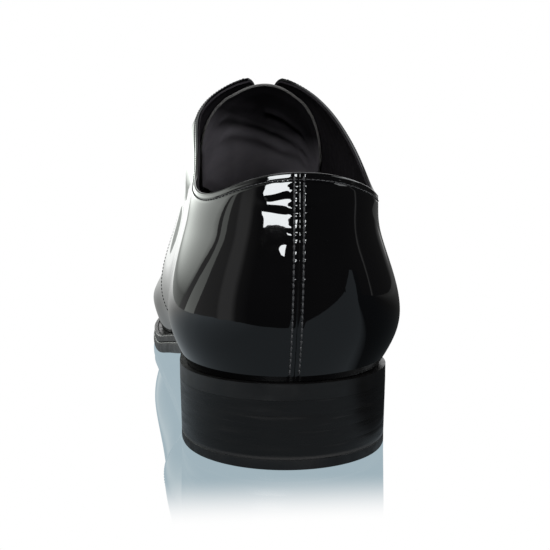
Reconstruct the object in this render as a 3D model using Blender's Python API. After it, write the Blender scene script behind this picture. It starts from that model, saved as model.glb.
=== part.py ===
"""A black patent leather derby dress shoe for the left foot, built as its maker puts it together.

The toe points to +Y and the lateral side of the foot to -X. The origin is on the floor, under the heel.
Sizes are in millimetres and stations are distances from the back of the heel seat; meshes are in metres.
"""

import functools
import math

import bmesh
import bpy
import numpy as np
from mathutils import Matrix, Vector

MM = 0.001
GAP = 0.3                  # clearance between pieces that touch

# Driving sizes
LAST_LENGTH = 293.0        # back of the heel seat to the toe, along the seam where the upper meets the sole
ORIGIN_STATION = 36.0      # station that lies over the origin
HEEL_ROUND = 44.0          # length over which the heel rounds off, seen from above
HEEL_FULLNESS = 2.5
TOE_ROUND = 86.0           # length over which the toe tapers, seen from above
TOE_FULLNESS = 2.25
TOE_DROP = 36.0            # length over which the toe comes down, seen from the side
TOE_DROP_FULLNESS = 2.5
BACK_LEAN = 0.028          # the back seam leans to the medial side by this much for each mm of height
BACK_FADE = 95.0           # station by which the back curve no longer shifts the wall

SOLE_THICKNESS = 5.0
WELT_THICKNESS = 2.8
WELT_START = 84.0          # station where the welt ends behind, at the heel breast
WELT_RISE = 40.0           # length over which it reaches its full thickness
WELT_INSET = 5.0           # how far it reaches in under the upper
WALL = 1.6                 # patent leather and its lining
QUARTER_STEP = 1.2         # how far the front edge of a quarter stands over the vamp
QUARTER_LAP = 0.72         # share of the quarter behind which it no longer stands over the vamp
INSOLE_THICKNESS = 3.0
HEEL_BREAST = 74.0         # station of the heel's front face at its sides
HEEL_BREAST_HOLLOW = 5.0
HEEL_INSET = 0.2           # the heel's edge lies this far inside the sole's edge at its top
HEEL_TAPER = 0.6           # and this far at the floor
TOP_PIECE_THICKNESS = 3.2

THROAT_STATION = 164.0     # front end of the lacing gap
QUARTER_FOOT = 116.0       # station where the quarter's front edge meets the sole
FACING_GAP = (5.5, 5.0)    # lacing gap at the top and at the throat
TONGUE_THICKNESS = 1.8
TONGUE_CLEARANCE = 0.9     # between the facings' lining and the tongue
TONGUE_WIDTH = (22.5, 15.0)   # half width at the top and under the throat
TONGUE_TOP = 112.0         # station of the tongue's top edge, on the ridge
TONGUE_ROUND = 12.0        # how far its rounded corners drop
TONGUE_TUCK = 10.0         # length that lies under the vamp

EYELETS = 5
EYELET_PITCH = 9.0         # along the station axis
FIRST_EYELET = 122.0       # station of the top pair
EYELET_INSET = 8.0         # from the edge of the facing
EYELET_RADIUS = 2.0
EYELET_DEPTH = 9.0
LACE_RADIUS = 1.15
LACE_BEND = 2.0            # radius of a lace's turn into its eyelet
LACE_BEND_STEPS = 4
LACE_END = 1.0             # how deep a lace's end lies in the wall

# The last, a row for each section. Half widths are from the section's centre line, heights are over the floor,
# and the bulge is how far the wall stands out beyond the seam, that high over it.
LAST_COLUMNS = ("station", "centre", "seam", "bulge_lat", "bulge_med", "bulge_up",
                "flank_lat", "flank_med", "flank_z", "shoulder_lat", "shoulder_med", "shoulder_z",
                "crown_x", "crown_z")
LAST_ROWS = (
    (0.0, 0.0, 32.0, 6.0, 6.4, 16.0, 32.6, 31.8, 70.0, 27.4, 29.2, 90.0, 0.0, 121.0),
    (42.0, 0.0, 32.0, 6.0, 6.4, 16.0, 32.6, 31.8, 70.0, 27.4, 29.2, 90.0, 0.0, 121.0),
    (76.0, -1.6, 29.8, 6.9, 6.8, 17.0, 30.8, 34.0, 72.0, 26.2, 31.0, 99.0, 0.3, 125.5),
    (96.0, -3.4, 28.3, 8.0, 7.6, 17.5, 29.8, 34.4, 72.0, 25.6, 29.8, 106.0, 0.3, 127.3),
    (112.0, -4.4, 28.4, 7.9, 7.0, 18.0, 29.2, 34.2, 72.0, 22.9, 28.7, 105.0, 0.3, 126.0),
    (150.0, -4.0, 33.6, 6.2, 5.2, 17.0, 34.8, 36.4, 52.0, 22.8, 29.2, 77.0, 1.5, 96.5),
    (190.0, -2.4, 41.2, 4.7, 4.2, 14.0, 42.4, 42.0, 36.0, 26.6, 29.9, 55.0, 2.2, 66.5),
    (228.0, -0.6, 44.4, 3.0, 2.8, 10.5, 42.5, 42.6, 31.0, 28.0, 29.0, 44.0, 2.6, 51.0),
    (262.0, 1.4, 43.6, 2.2, 2.2, 8.0, 39.6, 39.8, 32.0, 26.0, 26.4, 40.8, 3.0, 44.8),
    (293.0, 3.6, 42.0, 1.6, 1.6, 7.0, 38.0, 38.0, 34.0, 24.0, 24.0, 43.0, 3.6, 46.5),
)
SECTION_KNOTS = (-1.0, -0.83, -0.58, -0.32, 0.0, 0.32, 0.58, 0.83, 1.0)   # lateral seam, crown, medial seam

# Columns: station, height of the sole's underside, how far the sole's edge stands out beyond the seam
SOLE_ROWS = (
    (0.0, 21.4, 2.4),
    (40.0, 20.8, 2.4),
    (74.0, 19.0, 2.1),
    (102.0, 15.2, 1.8),
    (130.0, 9.6, 2.4),
    (158.0, 4.4, 3.6),
    (184.0, 0.05, 4.4),
    (198.0, -0.15, 4.6),
    (212.0, 0.05, 4.6),
    (238.0, 1.4, 4.6),
    (265.0, 4.9, 4.5),
    (293.0, 9.6, 4.4),
)
# Columns: height over the seam, how far forward the back curve lies there
BACK_ROWS = ((0.0, 0.0), (10.0, -2.9), (21.0, -4.2), (40.0, -2.6), (62.0, 2.6), (95.0, 11.0))
# Columns: station, height of the collar's edge over the floor on the lateral and on the medial side
TOPLINE_ROWS = (
    (0.0, 88.8, 88.8),
    (6.0, 86.0, 86.6),
    (14.0, 82.9, 84.0),
    (30.0, 83.0, 81.2),
    (52.0, 87.6, 86.8),
    (70.0, 95.4, 97.0),
    (86.0, 105.5, 107.4),
    (100.0, 116.3, 117.6),
    (111.0, 125.8, 125.8),
    (126.0, 139.5, 139.5),
)
CORNER_START = 80.0        # station behind which the quarter's edge is the collar's alone
CORNER_SOFTNESS = 0.07     # rounding of the facings' top corners, as a share of the half section
CORNER_FADE = (20.0, 8.0)  # lengths over which that rounding starts and ends
CORNER_RISE = 60.0         # height over the crown that counts as one more half section

# Mesh density
QUARTER_COLUMNS = 30
VAMP_COLUMNS = 16
COLUMN_BEND = 0.3          # share of the quarter whose columns crowd together at the back seam
WALL_ROWS = 13
SOLE_STEPS = 44
LACE_SPINE = 9


def natural_spline(xs, ys):
    """A smooth curve through the points, straight at both ends. Each of ys may hold several columns."""
    xs, ys = np.asarray(xs, float), np.asarray(ys, float)
    steps = np.diff(xs)
    count = len(xs)
    system = np.eye(count)
    right = np.zeros_like(ys)
    for i in range(1, count - 1):
        system[i, i - 1 : i + 2] = steps[i - 1], 2 * (steps[i - 1] + steps[i]), steps[i]
        right[i] = 6 * ((ys[i + 1] - ys[i]) / steps[i] - (ys[i] - ys[i - 1]) / steps[i - 1])
    bends = np.linalg.solve(system, right)

    def value(x):
        i = int(np.clip(np.searchsorted(xs, x) - 1, 0, count - 2))
        h = steps[i]
        a, b = (xs[i + 1] - x) / h, (x - xs[i]) / h
        return a * ys[i] + b * ys[i + 1] + ((a**3 - a) * bends[i] + (b**3 - b) * bends[i + 1]) * h * h / 6

    return value


def smooth_step(x):
    x = min(max(x, 0.0), 1.0)
    return x * x * (3 - 2 * x)


def rounded(distance, length, fullness):
    """Share of the full size at a distance from a rounded end."""
    left = 1 - min(max(distance / length, 0.0), 1.0)
    return math.sqrt(1 - left**fullness)


last_row = natural_spline([r[0] for r in LAST_ROWS], [r[1:] for r in LAST_ROWS])
sole_row = natural_spline([r[0] for r in SOLE_ROWS], [r[1:] for r in SOLE_ROWS])
back_shift = natural_spline([r[0] for r in BACK_ROWS], [r[1] for r in BACK_ROWS])
topline_row = natural_spline([r[0] for r in TOPLINE_ROWS], [r[1:] for r in TOPLINE_ROWS])


def welt_share(station):
    """Share of the welt's full thickness at a station."""
    return smooth_step((station - WELT_START + WELT_RISE / 4) / WELT_RISE)


def sole_top(station):
    return sole_row(station)[0] + SOLE_THICKNESS


def seam_height(station):
    """Height of the seam where the upper meets the sole."""
    return sole_top(station) + GAP + (WELT_THICKNESS + GAP) * welt_share(station)


@functools.lru_cache(maxsize=None)
def last_section(station):
    """The last's section at a station: centre, width share, height share, seam height and curve."""
    row = dict(zip(LAST_COLUMNS[1:], last_row(station)))
    seam_z = seam_height(station)
    wide = rounded(station, HEEL_ROUND, HEEL_FULLNESS) * rounded(LAST_LENGTH - station, TOE_ROUND, TOE_FULLNESS)
    high = rounded(LAST_LENGTH - station, TOE_DROP, TOE_DROP_FULLNESS)
    heights = [row["shoulder_z"], row["flank_z"], seam_z + row["bulge_up"], seam_z]
    lateral = [row["shoulder_lat"], row["flank_lat"], row["seam"] + row["bulge_lat"], row["seam"]]
    medial = [row["shoulder_med"], row["flank_med"], row["seam"] + row["bulge_med"], row["seam"]]
    xs = [-width for width in reversed(lateral)] + [row["crown_x"] - row["centre"]] + medial
    zs = heights[::-1] + [row["crown_z"]] + heights
    return row["centre"], wide, high, seam_z, natural_spline(SECTION_KNOTS, list(zip(xs, zs)))


def last_point(station, around):
    """A point of the upper's outer face. around is -1 at the lateral seam, 0 at the crown, 1 medial."""
    centre, wide, high, seam_z, curve = last_section(station)
    x, z = curve(around)
    rise = (z - seam_z) * high
    fade = (1 - min(station / BACK_FADE, 1.0)) ** 2
    x = centre + x * wide + BACK_LEAN * rise * fade
    return np.array([x, station + back_shift(rise) * fade, seam_z + rise])


def last_normal(station, around):
    """Outward direction of the last's surface."""
    step = 0.4
    low, high = max(station - step, 0.05), min(station + step, LAST_LENGTH - 0.05)
    left, right = max(around - 0.004, -1.0), min(around + 0.004, 1.0)
    along = last_point(high, around) - last_point(low, around)
    across = last_point(station, right) - last_point(station, left)
    normal = np.cross(across, along)
    return normal / np.linalg.norm(normal)


def offset_point(station, around, offset):
    """A point that lies off the last's surface, outwards. The back seam and the toe's tip face along Y."""
    station = min(max(station, 0.0), LAST_LENGTH)
    if offset == 0.0:
        return last_point(station, around)
    if station <= 0.05:
        point = last_point(0.0, around)
        rise = point[2] - seam_height(0.0)
        normal = np.array([0.0, -2.0, back_shift(rise + 1) - back_shift(rise - 1)])
        return point + offset * normal / np.linalg.norm(normal)
    if station >= LAST_LENGTH - 0.05:
        return last_point(LAST_LENGTH, around) + offset * np.array([0.0, 1.0, 0.0])
    return last_point(station, around) + offset * last_normal(station, around)


def wall_point(station, around, offset):
    """A point of the upper's wall, whose lower edge lies flat on the seam."""
    point = offset_point(station, around, offset)
    if abs(around) == 1.0:
        point[2] = seam_height(point[1])
    return point


def solve_around(measure, target, side):
    """Where along a half section, from seam to crown, a rising measure reaches the target."""
    low, high = 0.0, 1.0
    for _ in range(40):
        middle = (low + high) / 2
        if measure(side * (1 - middle)) < target:
            low = middle
        else:
            high = middle
    return (low + high) / 2


def half_gap(station):
    """Half the width of the lacing gap."""
    progress = (station - FIRST_EYELET) / (THROAT_STATION - FIRST_EYELET)
    return (FACING_GAP[0] + (FACING_GAP[1] - FACING_GAP[0]) * min(max(progress, 0.0), 1.0)) / 2


def share_from_crown(station, distance, side):
    """How far up its half section, 0 at the seam and 1 at the crown, a point lies this far beside the crown."""
    crown_x = last_point(station, 0.0)[0]
    return solve_around(lambda around: -abs(last_point(station, around)[0] - crown_x), -distance, side)


@functools.lru_cache(maxsize=None)
def edge_share(station, side):
    """How far up its half section the quarter reaches: to the collar's edge, or to that of the lacing gap."""
    if station >= TOPLINE_ROWS[-1][0]:
        return share_from_crown(station, half_gap(station), side)
    crown_z = last_point(station, 0.0)[2]
    top = topline_row(station)[0 if side < 0 else 1]
    collar = 1.0 + (top - crown_z) / CORNER_RISE
    if top < crown_z:
        collar = solve_around(lambda around: last_point(station, around)[2], top, side)
    if station < CORNER_START:
        return collar
    facing = share_from_crown(station, half_gap(station), side)
    starts = smooth_step((station - CORNER_START) / CORNER_FADE[0])
    ends = smooth_step((TOPLINE_ROWS[-1][0] - station) / CORNER_FADE[1])
    return (collar + facing - math.hypot(collar - facing, CORNER_SOFTNESS * starts * ends)) / 2


def quarter_stations(share):
    """Stations of a quarter's column at the seam and at its top. share is 0 at the back seam, 1 in front."""
    along = (math.hypot(1, share / COLUMN_BEND) - 1) / (math.hypot(1, 1 / COLUMN_BEND) - 1)
    return QUARTER_FOOT * along, THROAT_STATION * along


def quarter_share(station):
    """The quarter's column whose top end is at a station."""
    grown = 1 + (math.hypot(1, 1 / COLUMN_BEND) - 1) * station / THROAT_STATION
    return COLUMN_BEND * math.sqrt(grown * grown - 1)


def quarter_place(share, up, side):
    """(station, around) of a point of the quarter, up from 0 at the seam to 1 at its top edge."""
    foot, top = quarter_stations(share)
    swept = up**1.25
    return foot + (top - foot) * swept, side * (1 - up * edge_share(top, side))


def vamp_place(share, up, side):
    """(station, around) of a point of the vamp. share is 0 at the quarter's front edge and 1 at the toe."""
    foot = QUARTER_FOOT + (LAST_LENGTH - QUARTER_FOOT) * math.sin(share * math.pi / 2)
    top = THROAT_STATION + (LAST_LENGTH - THROAT_STATION) * math.sin(share * math.pi / 2)
    edge = edge_share(THROAT_STATION, side)
    swept = min(up, 1.0) ** 1.25
    return foot + (top - foot) * swept, side * (1 - (up * edge if up <= 1.0 else 1.0))


def quarter_raise(share):
    """How far the quarter stands off the last where it laps over the vamp."""
    return QUARTER_STEP * smooth_step((share - QUARTER_LAP) / (1 - QUARTER_LAP))


def material(name, colour, roughness, coat=0.0):
    made = bpy.data.materials.new(name)
    made.use_nodes = True
    shader = made.node_tree.nodes["Principled BSDF"]
    shader.inputs["Base Color"].default_value = (*colour, 1.0)
    shader.inputs["Roughness"].default_value = roughness
    shader.inputs["Metallic"].default_value = 0.0
    shader.inputs["Coat Weight"].default_value = coat
    return made


def mesh_object(name, bm, finish, collection):
    """Turns a mesh in last millimetres into a part in metres, over the origin."""
    bmesh.ops.remove_doubles(bm, verts=bm.verts, dist=1e-4)
    bmesh.ops.recalc_face_normals(bm, faces=bm.faces)
    for v in bm.verts:
        v.co = (v.co.x * MM, (v.co.y - ORIGIN_STATION) * MM, v.co.z * MM)
    mesh = bpy.data.meshes.new(name)
    bm.to_mesh(mesh)
    bm.free()
    mesh.shade_smooth()
    mesh.set_sharp_from_angle(angle=math.radians(35))
    made = bpy.data.objects.new(name, mesh)
    made.data.materials.append(finish)
    collection.objects.link(made)
    return made


def build_upper(collection, finish):
    """Vamp and quarters as one wall, open underneath, at the collar and along the lacing gap."""
    bm = bmesh.new()

    def quad(*corners):
        bm.faces.new(list(dict.fromkeys(corners)))

    shares = [i / QUARTER_COLUMNS for i in range(QUARTER_COLUMNS + 1)]
    ups = [j / WALL_ROWS for j in range(WALL_ROWS + 1)]
    vamp_shares = [k / VAMP_COLUMNS for k in range(VAMP_COLUMNS + 1)]
    outer, inner, vamp_out, vamp_in = {}, {}, {}, {}
    for side in (-1, 1):
        for i, share in enumerate(shares):
            for j, up in enumerate(ups):
                place = quarter_place(share, up, side)
                shared = i == 0 and side == 1
                outer[side, i, j] = (outer[-1, 0, j] if shared
                                     else bm.verts.new(wall_point(*place, quarter_raise(share))))
                inner[side, i, j] = inner[-1, 0, j] if shared else bm.verts.new(wall_point(*place, -WALL))
        for k, share in enumerate(vamp_shares):
            for j in range(WALL_ROWS + 2):
                up = 2.0 if j > WALL_ROWS else ups[j]
                shared = side == 1 and j > WALL_ROWS
                if k == VAMP_COLUMNS and (side == 1 or j > 0):
                    vamp_out[side, k, j], vamp_in[side, k, j] = vamp_out[-1, k, 0], vamp_in[-1, k, 0]
                    continue
                place = vamp_place(share, up, side)
                vamp_out[side, k, j] = vamp_out[-1, k, j] if shared else bm.verts.new(wall_point(*place, 0.0))
                if k == 0 and j <= WALL_ROWS:
                    vamp_in[side, k, j] = inner[side, QUARTER_COLUMNS, j]
                else:
                    vamp_in[side, k, j] = (vamp_in[-1, k, j] if shared
                                           else bm.verts.new(wall_point(*place, -WALL)))
    last = QUARTER_COLUMNS
    for side in (-1, 1):
        for j in range(WALL_ROWS):
            for i in range(last):
                quad(outer[side, i, j], outer[side, i + 1, j], outer[side, i + 1, j + 1], outer[side, i, j + 1])
                quad(inner[side, i, j], inner[side, i + 1, j], inner[side, i + 1, j + 1], inner[side, i, j + 1])
            quad(outer[side, last, j], vamp_out[side, 0, j], vamp_out[side, 0, j + 1], outer[side, last, j + 1])
        for k in range(VAMP_COLUMNS):
            for j in range(WALL_ROWS + 1):
                for grid in (vamp_out, vamp_in):
                    quad(grid[side, k, j], grid[side, k + 1, j], grid[side, k + 1, j + 1], grid[side, k, j + 1])
            quad(vamp_out[side, k, 0], vamp_out[side, k + 1, 0], vamp_in[side, k + 1, 0], vamp_in[side, k, 0])
        for i in range(last):
            quad(outer[side, i, 0], outer[side, i + 1, 0], inner[side, i + 1, 0], inner[side, i, 0])
            if i < last - 1:
                quad(outer[side, i, WALL_ROWS], outer[side, i + 1, WALL_ROWS], inner[side, i + 1, WALL_ROWS],
                     inner[side, i, WALL_ROWS])
        quad(outer[side, last - 1, WALL_ROWS], outer[side, last, WALL_ROWS], vamp_out[side, 0, WALL_ROWS],
             inner[side, last, WALL_ROWS], inner[side, last - 1, WALL_ROWS])
        quad(outer[side, last, 0], vamp_out[side, 0, 0], inner[side, last, 0])
        quad(vamp_out[side, 0, WALL_ROWS], vamp_out[side, 0, WALL_ROWS + 1], vamp_in[side, 0, WALL_ROWS + 1],
             inner[side, last, WALL_ROWS])
    return mesh_object("upper", bm, finish, collection)


def seam_outline(inset, first=0.0, last=LAST_LENGTH, columns=SOLE_STEPS):
    """Pairs of points (lateral, medial) along the seam where upper and sole meet, moved in by an inset.

    An inset is a number or a function of the station; a negative one moves the outline out.
    """
    inset_at = inset if callable(inset) else lambda station: inset
    start = math.acos(1 - 2 * first / LAST_LENGTH)
    end = math.acos(1 - 2 * last / LAST_LENGTH)
    pairs = []
    for n in range(columns + 1):
        station = LAST_LENGTH * (1 - math.cos(start + (end - start) * n / columns)) / 2
        pair = []
        for side in (-1, 1):
            here = last_point(station, side)[:2]
            if station < 0.05:
                outward = np.array([0.0, -1.0])
            elif station > LAST_LENGTH - 0.05:
                outward = np.array([0.0, 1.0])
            else:
                step = min(0.3, station / 2, (LAST_LENGTH - station) / 2)
                along = last_point(station + step, side)[:2] - last_point(station - step, side)[:2]
                outward = side * np.array([along[1], -along[0]]) / np.linalg.norm(along)
            pair.append(here - outward * inset_at(station))
        pairs.append(pair)
    return pairs


def sole_margin(station):
    return sole_row(station)[1]


def loft_plate(name, levels, finish, collection):
    """A plate from outlines stacked from top to bottom. Each level is (pairs, height as a function of y)."""
    bm = bmesh.new()
    rings = []
    for pairs, height in levels:
        rings.append([[bm.verts.new((x, y, height(y))) for x, y in pair] for pair in pairs])
    for upper, lower in zip(rings, rings[1:]):
        for n in range(len(upper) - 1):
            for side in (0, 1):
                bm.faces.new([upper[n][side], upper[n + 1][side], lower[n + 1][side], lower[n][side]])
        for n in (0, -1):
            bm.faces.new([upper[n][0], upper[n][1], lower[n][1], lower[n][0]])
    for ring in (rings[0], rings[-1]):
        for a, b in zip(ring, ring[1:]):
            bm.faces.new([a[0], a[1], b[1], b[0]])
    bmesh.ops.remove_doubles(bm, verts=bm.verts, dist=1e-3)
    bmesh.ops.dissolve_degenerate(bm, edges=bm.edges, dist=1e-3)
    return mesh_object(name, bm, finish, collection)


def build_outsole(collection, finish):
    """The leather sole, from toe to heel, with a rounded edge and a flat tread under the ball of the foot."""
    edge = ((0.0, 0.5), (1.2, 0.0), (3.4, 0.0), (SOLE_THICKNESS, 0.9))   # depth from the top, and how far in
    levels = []
    for depth, inset in edge:
        pairs = seam_outline(lambda station, inset=inset: inset - sole_margin(station))
        levels.append((pairs, lambda y, depth=depth: max(sole_top(y) - depth, 0.0)))
    return loft_plate("outsole", levels, finish, collection)


def build_insole(collection, finish):
    levels = []
    for up, inset in ((INSOLE_THICKNESS, WALL + 1.2), (0.8, WALL + 0.8), (0.0, WALL + 1.2)):
        levels.append((seam_outline(inset, columns=34), lambda y, up=up: seam_height(y) + up))
    return loft_plate("insole", levels, finish, collection)


def build_welt(collection, finish):
    """A strip of leather round the forefoot, between the upper and the sole."""
    bm = bmesh.new()
    start = WELT_START + WELT_RISE * 0.1
    edges = []
    for inset in (WELT_INSET, None):
        pairs = seam_outline(inset if inset else (lambda station: 0.5 - sole_margin(station)), first=start)
        edges.append([pair[0] for pair in pairs] + [pair[1] for pair in reversed(pairs[:-1])])
    sections = []
    for within, without in zip(*edges):
        section = []
        for (x, y), top in ((within, True), (without, True), (without, False), (within, False)):
            z = seam_height(y) - GAP if top else sole_top(y) + GAP
            section.append(bm.verts.new((x, y, z)))
        sections.append(section)
    for a, b in zip(sections, sections[1:]):
        for n in range(4):
            bm.faces.new([a[n], a[(n + 1) % 4], b[(n + 1) % 4], b[n]])
    bm.faces.new(sections[0])
    bm.faces.new(sections[-1])
    return mesh_object("welt", bm, finish, collection)


def heel_outline(inset, columns=18):
    """The heel's outline, round behind and hollow at its front face."""
    pairs = seam_outline(lambda station: inset - sole_margin(station), last=HEEL_BREAST, columns=columns)
    front = []
    (left_x, left_y), (right_x, right_y) = pairs[-1]
    for n in range(1, 9):
        share = n / 9
        hollow = HEEL_BREAST_HOLLOW * math.sin(share * math.pi)
        front.append((left_x + (right_x - left_x) * share, left_y + (right_y - left_y) * share - hollow))
    return [p[0] for p in pairs] + front + [p[1] for p in reversed(pairs[1:])]


def build_heel_piece(name, top, bottom, insets, collection, finish):
    """A slab of the heel between two heights, each a function of the station."""
    bm = bmesh.new()
    rings = []
    for height, inset in ((top, insets[0]), (bottom, insets[1])):
        rings.append([bm.verts.new((x, y, height(y))) for x, y in heel_outline(inset)])
    count = len(rings[0])
    for n in range(count):
        bm.faces.new([rings[0][n], rings[0][(n + 1) % count], rings[1][(n + 1) % count], rings[1][n]])
    caps = [bm.faces.new(ring) for ring in rings]
    bmesh.ops.triangulate(bm, faces=caps)
    return mesh_object(name, bm, finish, collection)


def tongue_place(along, across):
    """(station, around) on the tongue, along from 0 under the vamp to 1 at the top and across from -1 to 1."""
    half = TONGUE_WIDTH[1] + (TONGUE_WIDTH[0] - TONGUE_WIDTH[1]) * min(along / 0.6, 1.0)
    top = TONGUE_TOP + TONGUE_ROUND * (1 - math.sqrt(1 - abs(across) ** 5))
    base = THROAT_STATION + TONGUE_TUCK
    station = base + (top - base) * along
    side = -1 if across < 0 else 1
    return station, side * (1 - share_from_crown(station, half * abs(across), side))


def build_tongue(collection, finish):
    bm = bmesh.new()
    rows, columns = 18, 14
    depths = (WALL + TONGUE_CLEARANCE, WALL + TONGUE_CLEARANCE + TONGUE_THICKNESS)
    sheets = []
    for depth in depths:
        sheet = []
        for r in range(rows + 1):
            line = []
            for c in range(columns + 1):
                place = tongue_place(r / rows, math.sin((2 * c / columns - 1) * math.pi / 2))
                line.append(bm.verts.new(offset_point(*place, -depth)))
            sheet.append(line)
        sheets.append(sheet)
    for sheet in sheets:
        for a, b in zip(sheet, sheet[1:]):
            for n in range(columns):
                bm.faces.new([a[n], a[n + 1], b[n + 1], b[n]])
    rim = ([(r, 0) for r in range(rows)] + [(rows, c) for c in range(columns)]
           + [(r, columns) for r in range(rows, 0, -1)] + [(0, c) for c in range(columns, 0, -1)])
    for (r, c), (s, d) in zip(rim, rim[1:] + rim[:1]):
        bm.faces.new([sheets[0][r][c], sheets[0][s][d], sheets[1][s][d], sheets[1][r][c]])
    return mesh_object("tongue", bm, finish, collection)


def eyelet_place(number, side):
    """(station, around) of an eyelet, counted from the top."""
    station = FIRST_EYELET + EYELET_PITCH * number
    return station, side * (1 - share_from_crown(station, half_gap(station) + EYELET_INSET, side))


def facing_offset(station):
    """How far the facing's outer face stands off the last at its edge."""
    return quarter_raise(quarter_share(station))


def cut_eyelets(upper, cutters):
    """Punches the lace holes through the facings."""
    bm = bmesh.new()
    for number in range(EYELETS):
        for side in (-1, 1):
            station, around = eyelet_place(number, side)
            centre = last_point(station, around)
            axis = Vector(last_normal(station, around))
            turn = axis.to_track_quat("Z", "Y").to_matrix().to_4x4()
            shift = (centre[0] * MM, (centre[1] - ORIGIN_STATION) * MM, centre[2] * MM)
            place = Matrix.Translation(shift) @ turn
            bmesh.ops.create_cone(bm, cap_ends=True, segments=12, radius1=EYELET_RADIUS * MM,
                                  radius2=EYELET_RADIUS * MM, depth=EYELET_DEPTH * MM, matrix=place)
    mesh = bpy.data.meshes.new("eyelet_cutters")
    bm.to_mesh(mesh)
    bm.free()
    cutter = bpy.data.objects.new("eyelet_cutters", mesh)
    cutter.hide_render = True
    cutter.display_type = "WIRE"
    cutters.objects.link(cutter)
    punch = upper.modifiers.new("eyelets", "BOOLEAN")
    punch.operation = "DIFFERENCE"
    punch.solver = "EXACT"
    punch.object = cutter


def lace_path(number):
    """Points of a bar of lace, from inside one eyelet, over both facings and into the other."""
    (station, left), (_, right) = eyelet_place(number, -1), eyelet_place(number, 1)
    width = last_point(station, right)[0] - last_point(station, left)[0]
    top = facing_offset(station) + GAP + LACE_RADIUS
    bend = []
    for n in range(LACE_BEND_STEPS + 1):
        turned = n / LACE_BEND_STEPS * math.pi / 2
        bend.append((LACE_BEND * (1 - math.cos(turned)), top - LACE_BEND * (1 - math.sin(turned))))
    bend.insert(0, (0.0, -LACE_END))
    across = [(x / width, lift) for x, lift in bend]
    across += [(n / LACE_SPINE, top) for n in range(2, LACE_SPINE - 1)]
    across += [(1 - x / width, lift) for x, lift in reversed(bend)]
    return [offset_point(station, left + (right - left) * share, lift) for share, lift in across]


def build_laces(collection, finish):
    """Straight bars of round lace, each from one facing to the other."""
    for number in range(EYELETS):
        name = f"lace_bar_{number + 1}"
        curve = bpy.data.curves.new(name, "CURVE")
        curve.dimensions = "3D"
        curve.bevel_depth = LACE_RADIUS * MM
        curve.bevel_resolution = 2
        curve.use_fill_caps = True
        points = lace_path(number)
        spline = curve.splines.new("POLY")
        spline.points.add(len(points) - 1)
        for slot, (x, y, z) in zip(spline.points, points):
            slot.co = (x * MM, (y - ORIGIN_STATION) * MM, z * MM, 1.0)
        curve.materials.append(finish)
        collection.objects.link(bpy.data.objects.new(name, curve))


def main():
    for obj in list(bpy.data.objects):
        bpy.data.objects.remove(obj)
    shoe = bpy.data.collections.new("derby_dress_shoe")
    cutters = bpy.data.collections.new("cutters")
    bpy.context.scene.collection.children.link(shoe)
    bpy.context.scene.collection.children.link(cutters)

    patent = material("black_patent_leather", (0.006, 0.006, 0.007), 0.06, 1.0)
    lining = material("dark_lining_leather", (0.045, 0.040, 0.043), 0.55)
    edge = material("black_edge_ink", (0.018, 0.016, 0.015), 0.35)
    heel_stack = material("black_heel_leather", (0.022, 0.019, 0.018), 0.38)
    rubber = material("black_rubber", (0.02, 0.02, 0.022), 0.6)
    cord = material("waxed_black_cord", (0.012, 0.012, 0.013), 0.45)

    build_outsole(shoe, edge)
    build_welt(shoe, edge)
    build_insole(shoe, lining)
    cut_eyelets(build_upper(shoe, patent), cutters)
    build_tongue(shoe, patent)
    build_heel_piece("heel_block", lambda y: sole_row(y)[0] - GAP, lambda y: TOP_PIECE_THICKNESS + GAP,
                     (HEEL_INSET, HEEL_TAPER), shoe, heel_stack)
    build_heel_piece("top_piece", lambda y: TOP_PIECE_THICKNESS, lambda y: 0.0,
                     (HEEL_TAPER, HEEL_TAPER), shoe, rubber)
    build_laces(shoe, cord)


main()
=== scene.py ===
import math

import bmesh
import bpy
import numpy as np
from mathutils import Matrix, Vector


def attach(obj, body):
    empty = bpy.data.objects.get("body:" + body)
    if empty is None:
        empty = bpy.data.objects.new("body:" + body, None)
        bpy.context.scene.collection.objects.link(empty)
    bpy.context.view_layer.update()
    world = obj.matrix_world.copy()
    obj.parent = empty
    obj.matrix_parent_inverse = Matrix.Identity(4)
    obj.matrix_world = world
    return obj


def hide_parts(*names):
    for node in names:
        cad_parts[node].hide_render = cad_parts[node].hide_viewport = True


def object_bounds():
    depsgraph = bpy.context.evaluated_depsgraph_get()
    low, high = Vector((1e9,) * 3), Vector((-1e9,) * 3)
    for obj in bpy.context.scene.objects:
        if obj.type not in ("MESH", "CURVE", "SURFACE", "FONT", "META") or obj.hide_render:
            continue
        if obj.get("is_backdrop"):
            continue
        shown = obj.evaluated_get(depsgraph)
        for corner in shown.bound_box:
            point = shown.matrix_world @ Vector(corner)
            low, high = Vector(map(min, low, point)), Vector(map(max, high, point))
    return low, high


# A black patent leather derby dress shoe for the left foot. Sizes are in millimetres, and stations are
# distances from the back of the heel seat. Meshes are in metres over the frame's origin.
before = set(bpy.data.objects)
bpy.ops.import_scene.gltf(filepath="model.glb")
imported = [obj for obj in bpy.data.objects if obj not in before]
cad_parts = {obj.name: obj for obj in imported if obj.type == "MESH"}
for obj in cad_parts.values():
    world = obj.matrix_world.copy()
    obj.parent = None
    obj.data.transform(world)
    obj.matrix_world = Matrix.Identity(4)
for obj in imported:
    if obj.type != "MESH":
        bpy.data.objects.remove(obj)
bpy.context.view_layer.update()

# Quarters
# Two panels of black patent leather cover the heel and the sides. Their edges are skived and folded. They
# are closed behind by the back seam, with a row of stitches on each side of it, and drawn over the last.
MM = 0.001
ORIGIN_STATION = 36.0
LAST_LENGTH = 293.0
HEEL_ROUND = 44.0
HEEL_FULLNESS = 2.5
TOE_ROUND = 86.0
TOE_FULLNESS = 2.25
TOE_DROP = 36.0
TOE_DROP_FULLNESS = 2.5
BACK_LEAN = 0.028
BACK_FADE = 95.0
GAP = 0.3
SOLE_THICKNESS = 5.0
WELT_THICKNESS = 2.8
WELT_START = 84.0
WELT_RISE = 40.0
WELT_LEAD = 10.0           # how far behind its start the seam begins to rise
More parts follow.
